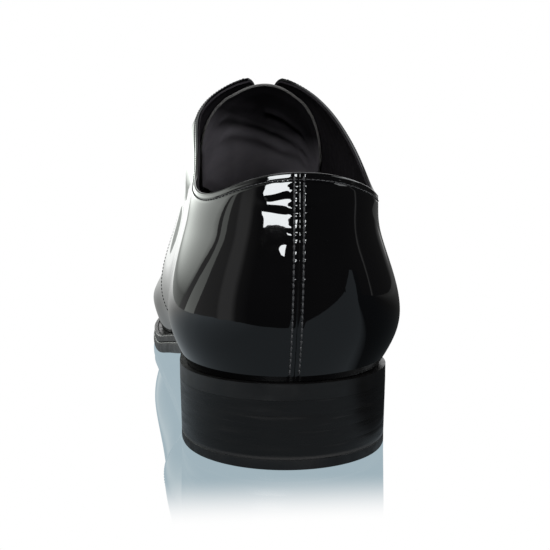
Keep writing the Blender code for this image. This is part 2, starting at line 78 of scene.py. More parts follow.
LAST_COLUMNS = ("station", "centre", "seam", "bulge_lat", "bulge_med", "bulge_up",
                "flank_lat", "flank_med", "flank_z", "shoulder_lat", "shoulder_med", "shoulder_z",
                "crown_x", "crown_z")
LAST_ROWS = (
    (0.0, 0.0, 32.0, 6.0, 6.4, 16.0, 32.6, 31.8, 70.0, 27.4, 29.2, 90.0, 0.0, 121.0),
    (42.0, 0.0, 32.0, 6.0, 6.4, 16.0, 32.6, 31.8, 70.0, 27.4, 29.2, 90.0, 0.0, 121.0),
    (76.0, -1.6, 29.8, 6.9, 6.8, 17.0, 30.8, 34.0, 72.0, 26.2, 31.0, 99.0, 0.3, 125.5),
    (96.0, -3.4, 28.3, 8.0, 7.6, 17.5, 29.8, 34.4, 72.0, 25.6, 29.8, 106.0, 0.3, 127.3),
    (112.0, -4.4, 28.4, 7.9, 7.0, 18.0, 29.2, 34.2, 72.0, 22.9, 28.7, 105.0, 0.3, 126.0),
    (150.0, -4.0, 33.6, 6.2, 5.2, 17.0, 34.8, 36.4, 52.0, 22.8, 29.2, 77.0, 1.5, 96.5),
    (190.0, -2.4, 41.2, 4.7, 4.2, 14.0, 42.4, 42.0, 36.0, 26.6, 29.9, 55.0, 2.2, 66.5),
    (228.0, -0.6, 44.4, 3.0, 2.8, 10.5, 42.5, 42.6, 31.0, 28.0, 29.0, 44.0, 2.6, 51.0),
    (262.0, 1.4, 43.6, 2.2, 2.2, 8.0, 39.6, 39.8, 32.0, 26.0, 26.4, 40.8, 3.0, 44.8),
    (293.0, 3.6, 42.0, 1.6, 1.6, 7.0, 38.0, 38.0, 34.0, 24.0, 24.0, 43.0, 3.6, 46.5),
)
SECTION_KNOTS = (-1.0, -0.83, -0.58, -0.32, 0.0, 0.32, 0.58, 0.83, 1.0)
# Columns: station, height of the sole's underside, how far the sole's edge stands out beyond the seam
SOLE_ROWS = (
    (0.0, 21.4, 2.4), (40.0, 20.8, 2.4), (74.0, 19.0, 2.1), (102.0, 15.2, 1.8), (130.0, 9.6, 2.4),
    (158.0, 4.4, 3.6), (184.0, 0.05, 4.4), (198.0, -0.15, 4.6), (212.0, 0.05, 4.6), (238.0, 1.4, 4.6),
    (265.0, 4.9, 4.5), (293.0, 9.6, 4.4),
)
# Columns: height over the seam, how far forward the back curve lies there
BACK_ROWS = ((0.0, 0.0), (10.0, -2.9), (21.0, -4.2), (40.0, -2.6), (62.0, 2.6), (95.0, 11.0))
# Columns: station, height of the collar's edge on the lateral and on the medial side
TOPLINE_ROWS = (
    (0.0, 88.8, 88.8), (6.0, 86.0, 86.6), (14.0, 82.9, 84.0), (30.0, 83.0, 81.2), (52.0, 87.6, 86.8),
    (70.0, 95.4, 97.0), (86.0, 105.5, 107.4), (100.0, 116.3, 117.6), (111.0, 125.8, 125.8),
    (126.0, 139.5, 139.5),
)
CORNER_START = 80.0
CORNER_SOFTNESS = 0.1
CORNER_FADE = (20.0, 8.0)
CORNER_RISE = 60.0
FIRST_EYELET = 122.0
THROAT_STATION = 164.0
QUARTER_FOOT = 116.0
QUARTER_SWEEP = 1.25
QUARTER_STEP = 1.2
QUARTER_LAP = 0.72
COLUMN_BEND = 0.3
FACING_GAP = (5.5, 5.0)
SIDES = (-1, 1)            # lateral, medial
HALVINGS = 40              # of the search for a place on a section
MERGE_DISTANCE = 1e-8      # metres within which two points of a mesh are one


def curve_through(places, values):
    """A smooth curve through the points, straight at both ends. Each value may hold several columns."""
    places = np.asarray(places, float)
    values = np.asarray(values, float)
    steps = np.diff(places)
    count = len(places)
    system = np.eye(count)
    pulls = np.zeros_like(values)
    for i in range(1, count - 1):
        system[i, i - 1 : i + 2] = steps[i - 1], 2 * (steps[i - 1] + steps[i]), steps[i]
        pulls[i] = 6 * ((values[i + 1] - values[i]) / steps[i] - (values[i] - values[i - 1]) / steps[i - 1])
    bends = np.linalg.solve(system, pulls)

    def value(at):
        at = np.asarray(at, float)
        i = np.clip(np.searchsorted(places, at) - 1, 0, count - 2)
        wide = steps[i]
        a = (places[i + 1] - at) / wide
        if values.ndim > 1:
            wide = wide[..., None]
            a = a[..., None]
        b = 1 - a
        bent = (a**3 - a) * bends[i] + (b**3 - b) * bends[i + 1]
        return a * values[i] + b * values[i + 1] + bent * wide * wide / 6

    return value


def smooth_step(x):
    x = np.clip(x, 0.0, 1.0)
    return x * x * (3 - 2 * x)


def rounded(distance, length, fullness):
    """Share of the full size at a distance from a rounded end."""
    left = 1 - np.clip(distance / length, 0.0, 1.0)
    return np.sqrt(1 - left**fullness)


last_row = curve_through([r[0] for r in LAST_ROWS], [r[1:] for r in LAST_ROWS])
sole_row = curve_through([r[0] for r in SOLE_ROWS], [r[1:] for r in SOLE_ROWS])
back_shift = curve_through([r[0] for r in BACK_ROWS], [r[1] for r in BACK_ROWS])
topline_row = curve_through([r[0] for r in TOPLINE_ROWS], [r[1:] for r in TOPLINE_ROWS])
section_weights = curve_through(SECTION_KNOTS, np.eye(len(SECTION_KNOTS)))


def sole_top(station):
    return sole_row(station)[..., 0] + SOLE_THICKNESS


def seam_height(station):
    """Height of the seam where the upper meets the welt, or the sole behind it."""
    welt_share = smooth_step((station - WELT_START + WELT_LEAD) / WELT_RISE)
    return sole_top(station) + GAP + (WELT_THICKNESS + GAP) * welt_share


def last_point(station, around):
    """Points of the last. around is -1 at the lateral seam, 0 at the crown and 1 at the medial seam."""
    station, around = np.broadcast_arrays(np.asarray(station, float), np.asarray(around, float))
    row = dict(zip(LAST_COLUMNS[1:], np.moveaxis(last_row(station), -1, 0)))
    seam_z = seam_height(station)
    heights = [row["shoulder_z"], row["flank_z"], seam_z + row["bulge_up"], seam_z]
    lateral = [row["shoulder_lat"], row["flank_lat"], row["seam"] + row["bulge_lat"], row["seam"]]
    medial = [row["shoulder_med"], row["flank_med"], row["seam"] + row["bulge_med"], row["seam"]]
    xs = np.stack([-width for width in reversed(lateral)] + [row["crown_x"] - row["centre"]] + medial, -1)
    zs = np.stack(heights[::-1] + [row["crown_z"]] + heights, -1)
    weights = section_weights(around)
    wide = rounded(station, HEEL_ROUND, HEEL_FULLNESS)
    wide = wide * rounded(LAST_LENGTH - station, TOE_ROUND, TOE_FULLNESS)
    high = rounded(LAST_LENGTH - station, TOE_DROP, TOE_DROP_FULLNESS)
    rise = ((weights * zs).sum(-1) - seam_z) * high
    fade = (1 - np.minimum(station / BACK_FADE, 1.0)) ** 2
    x = row["centre"] + (weights * xs).sum(-1) * wide + BACK_LEAN * rise * fade
    return np.stack([x, station + back_shift(rise) * fade, seam_z + rise], -1)


def last_normal(station, around):
    """Outward directions of the last, by small steps along a turn that is even at heel and toe."""
    turn_step = 0.006
    around_step = 0.004
    station, around = np.broadcast_arrays(np.asarray(station, float), np.asarray(around, float))
    turn = np.arccos(np.clip(1 - 2 * station / LAST_LENGTH, -1.0, 1.0))
    turn = np.minimum(turn, math.pi - 2 * turn_step)
    before = turn - turn_step
    over_the_back = np.where(before < 0, -around, around)
    here = LAST_LENGTH * (1 - np.cos(turn)) / 2
    ahead = last_point(LAST_LENGTH * (1 - np.cos(turn + turn_step)) / 2, around)
    behind = last_point(LAST_LENGTH * (1 - np.cos(before)) / 2, over_the_back)
    left = last_point(here, np.maximum(around - around_step, -1.0))
    right = last_point(here, np.minimum(around + around_step, 1.0))
    normal = np.cross(right - left, ahead - behind)
    return normal / np.linalg.norm(normal, axis=-1, keepdims=True)


def solve_up(measure, target, side):
    """How far up a half section, from the seam to the crown, a rising measure reaches its target."""
    low = np.zeros_like(target)
    high = np.ones_like(target)
    for _ in range(HALVINGS):
        middle = (low + high) / 2
        below = measure(side * (1 - middle)) < target
        low = np.where(below, middle, low)
        high = np.where(below, high, middle)
    return (low + high) / 2


def half_gap(station):
    """Half the width of the lacing gap."""
    progress = np.clip((station - FIRST_EYELET) / (THROAT_STATION - FIRST_EYELET), 0.0, 1.0)
    return (FACING_GAP[0] + (FACING_GAP[1] - FACING_GAP[0]) * progress) / 2


def share_from_crown(station, distance, side):
    """How far up its half section a point lies that is this far beside the crown."""
    station, distance = np.broadcast_arrays(np.asarray(station, float), np.asarray(distance, float))
    crown_x = last_point(station, 0.0)[..., 0]
    return solve_up(lambda around: -np.abs(last_point(station, around)[..., 0] - crown_x), -distance, side)


def edge_share(station, side):
    """How far up its half section the quarter reaches: to the edge of the collar or of the lacing gap."""
    crown_z = last_point(station, 0.0)[..., 2]
    top = topline_row(station)[..., 0 if side < 0 else 1]
    below_crown = solve_up(lambda around: last_point(station, around)[..., 2], top, side)
    collar = np.where(top < crown_z, below_crown, 1.0 + (top - crown_z) / CORNER_RISE)
    facing = share_from_crown(station, half_gap(station), side)
    starts = smooth_step((station - CORNER_START) / CORNER_FADE[0])
    ends = smooth_step((TOPLINE_ROWS[-1][0] - station) / CORNER_FADE[1])
    corner = (collar + facing - np.hypot(collar - facing, CORNER_SOFTNESS * starts * ends)) / 2
    behind = np.where(station < CORNER_START, collar, corner)
    return np.where(station >= TOPLINE_ROWS[-1][0], facing, behind)


def quarter_stations(share):
    """Stations of a quarter's column at the seam and at its top. share is 0 at the back seam, 1 in front."""
    along = (np.hypot(1, share / COLUMN_BEND) - 1) / (math.hypot(1, 1 / COLUMN_BEND) - 1)
    return QUARTER_FOOT * along, THROAT_STATION * along


def quarter_place(shares, ups, side):
    """Stations and places around the last for a grid of the quarter. ups go from the seam to its top."""
    foot, top = quarter_stations(shares)
    edge = edge_share(top, side)
    swept = ups[None, :] ** QUARTER_SWEEP
    station = foot[:, None] + (top - foot)[:, None] * swept
    return station, side * (1 - ups[None, :] * edge[:, None])


def quarter_raise(share):
    """How far the quarter stands off the last where it laps over the vamp."""
    return QUARTER_STEP * smooth_step((share - QUARTER_LAP) / (1 - QUARTER_LAP))


def lengths_along(points, axis):
    """Distance of each grid point from the first one of its row, along the row."""
    steps = np.linalg.norm(np.diff(points, axis=axis), axis=-1)
    pad = [(0, 0), (0, 0)]
    pad[axis] = (1, 0)
    return np.pad(np.cumsum(steps, axis=axis), pad)


def rolled(distance, radius):
    """How far a rounded edge drops at a distance from its rim."""
    left = np.clip(1 - distance / radius, 0.0, 1.0)
    return radius * (1 - np.sqrt(1 - left**2))


def furrow(distance, place, half_width):
    """A soft trough, 1 at its bottom."""
    return np.exp(-(((distance - place) / half_width) ** 2))


def creases_at(rows, across, along):
    """Depth of listed creases. Each row has a half width, a depth and the points of its line."""
    depth = np.zeros_like(across)
    for half_width, deep, *line in rows:
        apart = np.full_like(across, np.inf)
        for start, end in zip(line, line[1:]):
            run = np.subtract(end, start)
            share = ((across - start[0]) * run[0] + (along - start[1]) * run[1]) / (run @ run)
            share = np.clip(share, 0.0, 1.0)
            beside = np.hypot(across - start[0] - share * run[0], along - start[1] - share * run[1])
            apart = np.minimum(apart, beside)
        depth = depth + deep * furrow(apart, 0.0, half_width)
    return depth


def in_metres(points):
    """Points of the last, as metres over the frame's origin."""
    return (points - np.array([0.0, ORIGIN_STATION, 0.0])) * MM


def piece_from(name, points, faces, materials, face_materials=None, sharp=None):
    """A finished piece from last millimetres: merged at its poles, facing out and smooth."""
    points = np.asarray(points, float).reshape(-1, 3)
    mesh = bpy.data.meshes.new(name)
    mesh.from_pydata(in_metres(points).tolist(), [], faces)
    for made in materials:
        mesh.materials.append(made)
    if face_materials is not None:
        mesh.polygons.foreach_set("material_index", np.asarray(face_materials, np.int32))
    bm = bmesh.new()
    bm.from_mesh(mesh)
    bmesh.ops.remove_doubles(bm, verts=bm.verts, dist=MERGE_DISTANCE)
    if bm.calc_volume(signed=True) < 0:
        bmesh.ops.reverse_faces(bm, faces=bm.faces)
    bm.to_mesh(mesh)
    bm.free()
    mesh.shade_smooth()
    if sharp is not None:
        mesh.set_sharp_from_angle(angle=math.radians(sharp))
    made = bpy.data.objects.new(name, mesh)
    bpy.context.scene.collection.objects.link(made)
    return made


def all_cells(grid):
    return np.ones((grid.shape[0] - 1, grid.shape[1] - 1), bool)


def shell_faces(keep):
    """Faces of a closed sheet between two grids, numbered one after the other, and how many are outer ones.
    Cells that aren't kept are holes."""
    columns, rows = keep.shape
    number = np.arange((columns + 1) * (rows + 1)).reshape(columns + 1, rows + 1)
    other = number + number.size
    i, j = np.nonzero(keep)
    corners = ((i, j), (i + 1, j), (i + 1, j + 1), (i, j + 1))
    turned_corners = corners[:1] + corners[:0:-1]
    face_list = np.stack([number[corner] for corner in corners], -1).tolist()
    outer_count = len(face_list)
    face_list += np.stack([other[corner] for corner in turned_corners], -1).tolist()
    wide = np.pad(keep, 1)
    for along_rows in (False, True):
        first = wide[:-1, 1:-1] if along_rows else wide[1:-1, :-1]
        second = wide[1:, 1:-1] if along_rows else wide[1:-1, 1:]
        i, j = np.nonzero(first != second)
        starts = np.stack([i, j])
        ends = starts + np.array([[0], [1]] if along_rows else [[1], [0]])
        turned = second[i, j] == (not along_rows)
        a = tuple(np.where(turned, starts, ends))
        b = tuple(np.where(turned, ends, starts))
        face_list += np.stack([number[a], other[a], other[b], number[b]], -1).tolist()
    return face_list, outer_count


def leather_piece(name, outer, inner, materials, keep=None, face_slots=None):
    """A finished piece from its outer and its inner grid. face_slots gives each face's material."""
    faces, outer_count = shell_faces(all_cells(outer) if keep is None else keep)
    points = np.concatenate([outer.reshape(-1, 3), inner.reshape(-1, 3)])
    slots = None if face_slots is None else face_slots(len(faces), outer_count)
    return piece_from(name, points, faces, materials, slots, SHEET_SHARP)


def put(tree, socket, value):
    """Sets an input of a node, or links it where the value is another node's output."""
    if isinstance(value, bpy.types.NodeSocket):
        tree.links.new(value, socket)
    else:
        socket.default_value = value


def node(tree, kind, properties=None, **inputs):
    """A new node with its properties, and with its inputs set or linked by their names."""
    made = tree.nodes.new(kind)
    for name, value in (properties or {}).items():
        setattr(made, name, value)
    for name, value in inputs.items():
        put(tree, made.inputs[name.replace("_", " ")], value)
    return made


def new_finish(name, **sockets):
    """A material whose shader has its constant values on its own sockets."""
    made = bpy.data.materials.new(name)
    made.use_nodes = True
    shader = made.node_tree.nodes["Principled BSDF"]
    for socket, value in sockets.items():
        shader.inputs[socket.replace("_", " ")].default_value = value
    return made


def own_place(tree):
    """The piece's own coordinates."""
    return node(tree, "ShaderNodeTexCoord").outputs["Object"]


def noise_on(finish, scale, detail=2.0, stretch=(1.0, 1.0, 1.0)):
    """A noise in the piece's own coordinates, with so many cells to the metre."""
    tree = finish.node_tree
    turned = node(tree, "ShaderNodeMapping", Vector=own_place(tree), Scale=stretch).outputs["Vector"]
    return node(tree, "ShaderNodeTexNoise", Vector=turned, Scale=scale, Detail=detail).outputs["Fac"]


def ranged(finish, source, from_low, from_high, low, high):
    """The source's values, moved from one range to another."""
    made = node(finish.node_tree, "ShaderNodeMapRange", Value=source, From_Min=from_low, From_Max=from_high,
                To_Min=low, To_Max=high)
    return made.outputs["Result"]


def mixed_colour(finish, share, first, second):
    """Goes from the first colour to the second. A colour is three numbers or another mix's output."""
    tree = finish.node_tree
    made = node(tree, "ShaderNodeMix", {"data_type": "RGBA"}, Factor=share)
    sockets = [socket for socket in made.inputs if socket.type == "RGBA"]
    for socket, colour in zip(sockets, (first, second)):
        put(tree, socket, (*colour, 1.0) if isinstance(colour, tuple) else colour)
    return next(socket for socket in made.outputs if socket.type == "RGBA")


def drive(finish, source, *sockets):
    """Sends a pattern to the shader's sockets."""
    shader = finish.node_tree.nodes["Principled BSDF"]
    for socket in sockets:
        finish.node_tree.links.new(source, shader.inputs[socket])


def relief(finish, *layers):
    """Fine relief on a finish. Each layer is a pattern or a noise's numbers, and its height."""
    tree = finish.node_tree
    normal = None
    for source, height in layers:
        pattern = noise_on(finish, *source) if isinstance(source, tuple) else source
        bump = node(tree, "ShaderNodeBump", Strength=1.0, Distance=height * MM, Height=pattern)
        if normal is not None:
            put(tree, bump.inputs["Normal"], normal)
        normal = bump.outputs["Normal"]
    drive(finish, normal, "Normal", "Coat Normal")


def leather(name, colour, gloss, layers, **sockets):
    """A mottled finish. colour is a noise, the part of its range that counts (or None for all of it) and two
    colours. gloss is a noise, the part of its range and two roughnesses, or None where it is even."""
    finish = new_finish(name, **sockets)
    noise, part, *colours = colour
    share = noise_on(finish, *noise)
    if part is not None:
        share = ranged(finish, share, *part, 0.0, 1.0)
    drive(finish, mixed_colour(finish, share, *colours), "Base Color")
    if gloss is not None:
        noise, part, roughnesses = gloss
        drive(finish, ranged(finish, noise_on(finish, *noise), *part, *roughnesses), "Roughness")
    relief(finish, *layers)
    return finish


# Leather under a thick, clear lacquer: black, mirror-like, faintly wavy, with a little dust in its gloss
PATENT_COLOUR = ((35.0, 3.0), None, (0.0008, 0.0008, 0.0009), (0.0018, 0.0017, 0.0019))
PATENT_GLOSS = ((260.0, 4.0), (0.45, 0.75), (0.05, 0.13))
PATENT_RELIEF = (((55.0, 1.0), 0.10), ((420.0, 1.0), 0.004))
patent = leather("black_patent", PATENT_COLOUR, PATENT_GLOSS, PATENT_RELIEF, Specular_IOR_Level=0.04,
                 Coat_Weight=1.0, Coat_Roughness=0.015, Coat_IOR=1.5)

LEATHER = 0.9              # thickness of the patent leather
QUARTER_EXTRA = 0.02       # how far the quarters' lower face lies below that
EDGE_ROLL = 0.85           # radius of the folded edges
SEAM_ROLL = 0.22           # radius of the edges that meet in the back seam
STITCH_INSET = 2.4         # of the edge stitches from the edge
SEAM_STITCH = 1.43         # of the seam's stitches from the seam
STITCH_PITCH = 1.5
SEAM_STITCH_PITCH = 1.9
FOLD_INSET = 1.25          # of the line where the folded edge ends under the leather
FOLD_LINE = 0.05           # its depth
STITCH_FURROW = 0.13       # how deep the stitches draw the leather down
FURROW_WIDTH = 0.42
PUCKER = 0.10              # height of the puckers that the back seam's stitches draw up
PUCKER_WIDTH = 1.1
PUCKER_FADE = (44.0, 58.0)   # from this height to that they grow
PUCKER_DRIFT = 1.37        # a second, longer wave of puckers keeps them uneven
EDGE_STEPS = np.array([0.0, 0.1, 0.25, 0.45, 0.7, 1.0, 1.3, 1.6, 1.9, 2.15, 2.4, 2.65, 2.9, 3.2, 3.7, 4.3])
BACK_SCALE = 150.0         # mm that one share spans at the back seam
FRONT_SCALE = 190.0        # and at the front edge
TOP_SCALE = 78.0           # mm from the seam to the top edge
QUARTER_COLUMNS = 150
QUARTER_ROWS = 118
SHEET_SHARP = 60           # degrees from which the edges of a leather piece stay sharp
EYELETS = 5
EYELET_PITCH = 9.0
EYELET_INSET = 8.0
EYELET_RADIUS = 1.9
EYELET_CUT = 0.82          # share of it within which a grid's points are cut out
# Columns: half width, depth, then points as distance from the back seam and height
LATERAL_CREASES = (
    (0.45, 0.06, (0.5, 85.9), (5.0, 85.7), (9.0, 84.6)),
    (1.9, 0.20, (0.5, 84.0), (4.0, 83.6), (6.5, 82.4), (8.8, 81.7)),
    (1.9, -0.20, (0.5, 80.4), (4.0, 80.5), (7.0, 80.5), (9.5, 80.3)),
    (1.4, -0.12, (1.5, 77.8), (5.0, 78.2), (9.5, 78.9)),
    (1.4, 0.12, (1.5, 76.2), (5.0, 76.6), (9.5, 77.4)),
    (1.7, -0.14, (4.4, 59.0), (4.4, 62.9)),
    (1.7, -0.14, (4.4, 59.0), (4.4, 64.2)),
    (1.7, -0.14, (4.4, 59.0), (4.4, 65.5)),
    (2.0, 0.02, (15.5, 84.0), (19.5, 66.0), (23.5, 46.0)),
    (1.6, 0.015, (20.0, 84.0), (24.5, 66.0), (30.0, 42.0)),
    (2.2, 0.02, (25.0, 84.0), (30.0, 64.0), (37.0, 40.0)),
)
MEDIAL_CREASES = (
    (0.8, 0.06, (1.0, 80.0), (7.0, 78.6)),
    (1.4, 0.03, (1.0, 72.0), (8.0, 73.0)),
    (1.8, 0.02, (14.0, 84.0), (17.5, 52.0)),
    (2.0, 0.02, (18.0, 84.0), (22.5, 50.0)),
)


def eyelet_place(number, side):
    """Station and place around the last of an eyelet, counted from the top."""
    station = FIRST_EYELET + EYELET_PITCH * number
    return station, side * (1 - share_from_crown(station, half_gap(station) + EYELET_INSET, side))


def punch_eyelets(side, sheets, keep):
    """Leaves cells out of a quarter's sheets at its eyelets and draws the rims of the holes round."""
    for number in range(EYELETS):
        place = eyelet_place(number, side)
        centre = last_point(*place)
        axis = last_normal(*place)
        flat = sheets[0] - centre
        flat = flat - (flat @ axis)[..., None] * axis
        inside = np.linalg.norm(flat, axis=-1) < EYELET_RADIUS * EYELET_CUT
        hole = inside[:-1, :-1] | inside[1:, :-1] | inside[:-1, 1:] | inside[1:, 1:]
        keep &= ~hole
        corners = np.zeros(inside.shape, bool)
        for i in (slice(None, -1), slice(1, None)):
            for j in (slice(None, -1), slice(1, None)):
                corners[i, j] |= hole
        for sheet in sheets:
            out = sheet[corners] - centre
            deep = (out @ axis)[:, None] * axis
            out = out - deep
            round_rim = out / np.linalg.norm(out, axis=-1, keepdims=True) * EYELET_RADIUS
            sheet[corners] = centre + deep + round_rim


def quarter_panel(side):
    """The quarter's outer and inner face, the outward directions, and the distances from its edges."""
    middle = np.linspace(EDGE_STEPS[-1] / BACK_SCALE, 1 - EDGE_STEPS[-1] / FRONT_SCALE, QUARTER_COLUMNS)
    shares = np.concatenate([EDGE_STEPS[:-1] / BACK_SCALE, middle, 1 - EDGE_STEPS[-2::-1] / FRONT_SCALE])
    ups = np.concatenate([np.linspace(0.0, 1 - EDGE_STEPS[-1] / TOP_SCALE, QUARTER_ROWS),
                          1 - EDGE_STEPS[-2::-1] / TOP_SCALE])
    station, around = quarter_place(shares, ups, side)
    base = last_point(station, around)
    normal = last_normal(station, around)
    back = lengths_along(base, 0)
    front = back[-1:] - back
    top = lengths_along(base, 1)
    top = top[:, -1:] - top
    height = base[..., 2]
    offset = quarter_raise(shares)[:, None] * np.ones_like(height)
    drop = np.maximum(np.maximum(rolled(top, EDGE_ROLL), rolled(front, EDGE_ROLL)), rolled(back, SEAM_ROLL))
    stitched = np.maximum(furrow(top, STITCH_INSET, FURROW_WIDTH), furrow(front, STITCH_INSET, FURROW_WIDTH))
    stitched = np.maximum(stitched, furrow(back, SEAM_STITCH, FURROW_WIDTH))
    wave = 2 * math.pi * height / SEAM_STITCH_PITCH
    puckers = PUCKER * (np.cos(wave) + np.cos(wave / PUCKER_DRIFT))
    puckers = puckers * furrow(back, SEAM_STITCH, PUCKER_WIDTH)
    puckers = puckers * smooth_step((height - PUCKER_FADE[0]) / (PUCKER_FADE[1] - PUCKER_FADE[0]))
    fold_line = FOLD_LINE * furrow(top, FOLD_INSET, FURROW_WIDTH)
    creases = creases_at(LATERAL_CREASES if side < 0 else MEDIAL_CREASES, back, height)
    raised = offset - drop - fold_line - STITCH_FURROW * stitched + puckers - creases
    outer = base + raised[..., None] * normal
    inner = base + (offset - LEATHER - QUARTER_EXTRA)[..., None] * normal
    for sheet in (outer, inner):
        sheet[:, 0, 2] = seam_height(sheet[:, 0, 1])
    return outer, inner, normal, {"back": back, "front": front, "top": top}


quarters = {}
for side, name in zip(SIDES, ("quarter_lateral", "quarter_medial")):
    outer, inner, normal, edges = quarter_panel(side)
    quarters[side] = (outer.copy(), normal, edges)
    keep = all_cells(outer)
    punch_eyelets(side, (outer, inner), keep)
    quarter = leather_piece(name, outer, inner, [patent], keep)
    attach(quarter, "root")
    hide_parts("upper")

# Closing stitches
# Waxed black thread in short, even stitches: two rows along the back seam, and one row inside the folded
# edges of each quarter, from the back round the collar, down the facing and along the front edge.
EDGE_THREAD_RADIUS = 0.2
SEAM_THREAD_RADIUS = 0.33
STITCH_LENGTH = 1.2
SEAM_STITCH_LENGTH = 1.5
STITCH_SINK = 0.28         # how far a stitch's ends go into the leather
SEAM_STITCH_ENDS = (3.0, 2.6)   # from the sole to the seam's first stitch, and from the last to the edge
COLLAR_STITCH_START = 1.0  # from the back seam to the collar's first stitch
ARCH_STEPS = 7             # along a stitch
THREAD_SIDES = 7           # round its thread
THREAD_COLOUR = ((900.0,), None, (0.014, 0.014, 0.015), (0.034, 0.033, 0.034))
THREAD_RELIEF = (((4000.0,), 0.05),)


def in_order(tree, kind, *values, **properties):
    """The outputs of a new node whose inputs, in their order, take values or other nodes' outputs."""
    made = node(tree, kind, properties)
    for socket, value in zip(made.inputs, values):
        put(tree, socket, value)
    return made.outputs


def math_on(tree, operation, first, second):
    return in_order(tree, "ShaderNodeMath", first, second, operation=operation)[0]


def stitch_tree():
    """Geometry nodes that lay stitches along a line of points, each turned to face as its surface does."""
    tree = bpy.data.node_groups.new("stitch_row", "GeometryNodeTree")
    tree.interface.new_socket("Geometry", in_out="INPUT", socket_type="NodeSocketGeometry")
    for name in ("Pitch", "Stitch Length", "Thread Radius", "Sink"):
        tree.interface.new_socket(name, in_out="INPUT", socket_type="NodeSocketFloat")
    tree.interface.new_socket("Thread", in_out="INPUT", socket_type="NodeSocketMaterial")
    tree.interface.new_socket("Geometry", in_out="OUTPUT", socket_type="NodeSocketGeometry")
    given = node(tree, "NodeGroupInput").outputs
    sunk = math_on(tree, "MULTIPLY", given["Sink"], -1.0)
    halves = []
    for half in (-0.5, 0.5):
        reach = math_on(tree, "MULTIPLY", given["Stitch Length"], half)
        for height in (sunk, given["Sink"]):
            halves.append(node(tree, "ShaderNodeCombineXYZ", X=reach, Z=height).outputs["Vector"])
    start, start_handle, end, end_handle = halves
    arch = node(tree, "GeometryNodeCurvePrimitiveBezierSegment", Resolution=ARCH_STEPS, Start=start,
                Start_Handle=start_handle, End_Handle=end_handle, End=end)
    section = node(tree, "GeometryNodeCurvePrimitiveCircle", Resolution=THREAD_SIDES,
                   Radius=given["Thread Radius"])
    thread = node(tree, "GeometryNodeCurveToMesh", Curve=arch.outputs["Curve"],
                  Profile_Curve=section.outputs["Curve"], Fill_Caps=True)
    line = node(tree, "GeometryNodeMeshToCurve", Mesh=given["Geometry"])
    evenly = node(tree, "GeometryNodeResampleCurve", {"mode": "LENGTH"}, Curve=line.outputs["Curve"],
                  Length=given["Pitch"])
    facing = node(tree, "GeometryNodeInputNamedAttribute", {"data_type": "FLOAT_VECTOR"}, Name="facing")
    tangent = node(tree, "GeometryNodeInputTangent")
    turn = node(tree, "FunctionNodeAxesToRotation", {"primary_axis": "Z", "secondary_axis": "X"},
                Primary_Axis=facing.outputs["Attribute"], Secondary_Axis=tangent.outputs["Tangent"])
    laid = node(tree, "GeometryNodeInstanceOnPoints", Points=evenly.outputs["Curve"],
                Instance=thread.outputs["Mesh"], Rotation=turn.outputs["Rotation"])
    real = node(tree, "GeometryNodeRealizeInstances", Geometry=laid.outputs["Instances"])
    smooth = node(tree, "GeometryNodeSetShadeSmooth", Geometry=real.outputs["Geometry"])
    dressed = node(tree, "GeometryNodeSetMaterial", Geometry=smooth.outputs["Geometry"],
                   Material=given["Thread"])
    node(tree, "NodeGroupOutput", Geometry=dressed.outputs["Geometry"])
    return tree


def sew(name, rows, pitch, length, radius):
    """Stitches along rows of points. Each row is its points on the last and the outward directions there."""
    points = []
    facings = []
    edges = []
    for row_points, row_facings in rows:
        first = len(points)
        points += in_metres(row_points).tolist()
        facings += row_facings.tolist()
        edges += [(k, k + 1) for k in range(first, len(points) - 1)]
    mesh = bpy.data.meshes.new(name)
    mesh.from_pydata(points, edges, [])
    turned = mesh.attributes.new("facing", "FLOAT_VECTOR", "POINT")
    turned.data.foreach_set("vector", np.asarray(facings, np.float32).ravel())
    made = bpy.data.objects.new(name, mesh)
    bpy.context.scene.collection.objects.link(made)
    modifier = made.modifiers.new("stitches", "NODES")
    modifier.node_group = stitches
    sizes = {"Pitch": pitch * MM, "Stitch Length": length * MM, "Thread Radius": radius * MM,
             "Sink": STITCH_SINK * MM, "Thread": thread}
    for item in stitches.interface.items_tree:
        if item.in_out == "INPUT" and item.name in sizes:
            modifier[item.identifier] = sizes[item.name]
    seen = made.evaluated_get(bpy.context.evaluated_depsgraph_get())
    made.data = bpy.data.meshes.new_from_object(seen)
    made.modifiers.clear()
    bpy.data.meshes.remove(mesh)
    return made


def row_at(values, distances, wanted):
    """Values of a grid where, along each of its rows, a distance has the wanted size."""
    picked = []
    for line, measured in zip(values, distances):
        order = np.argsort(measured)
        picked.append([np.interp(wanted, measured[order], line[order, k]) for k in range(3)])
    return np.array(picked)


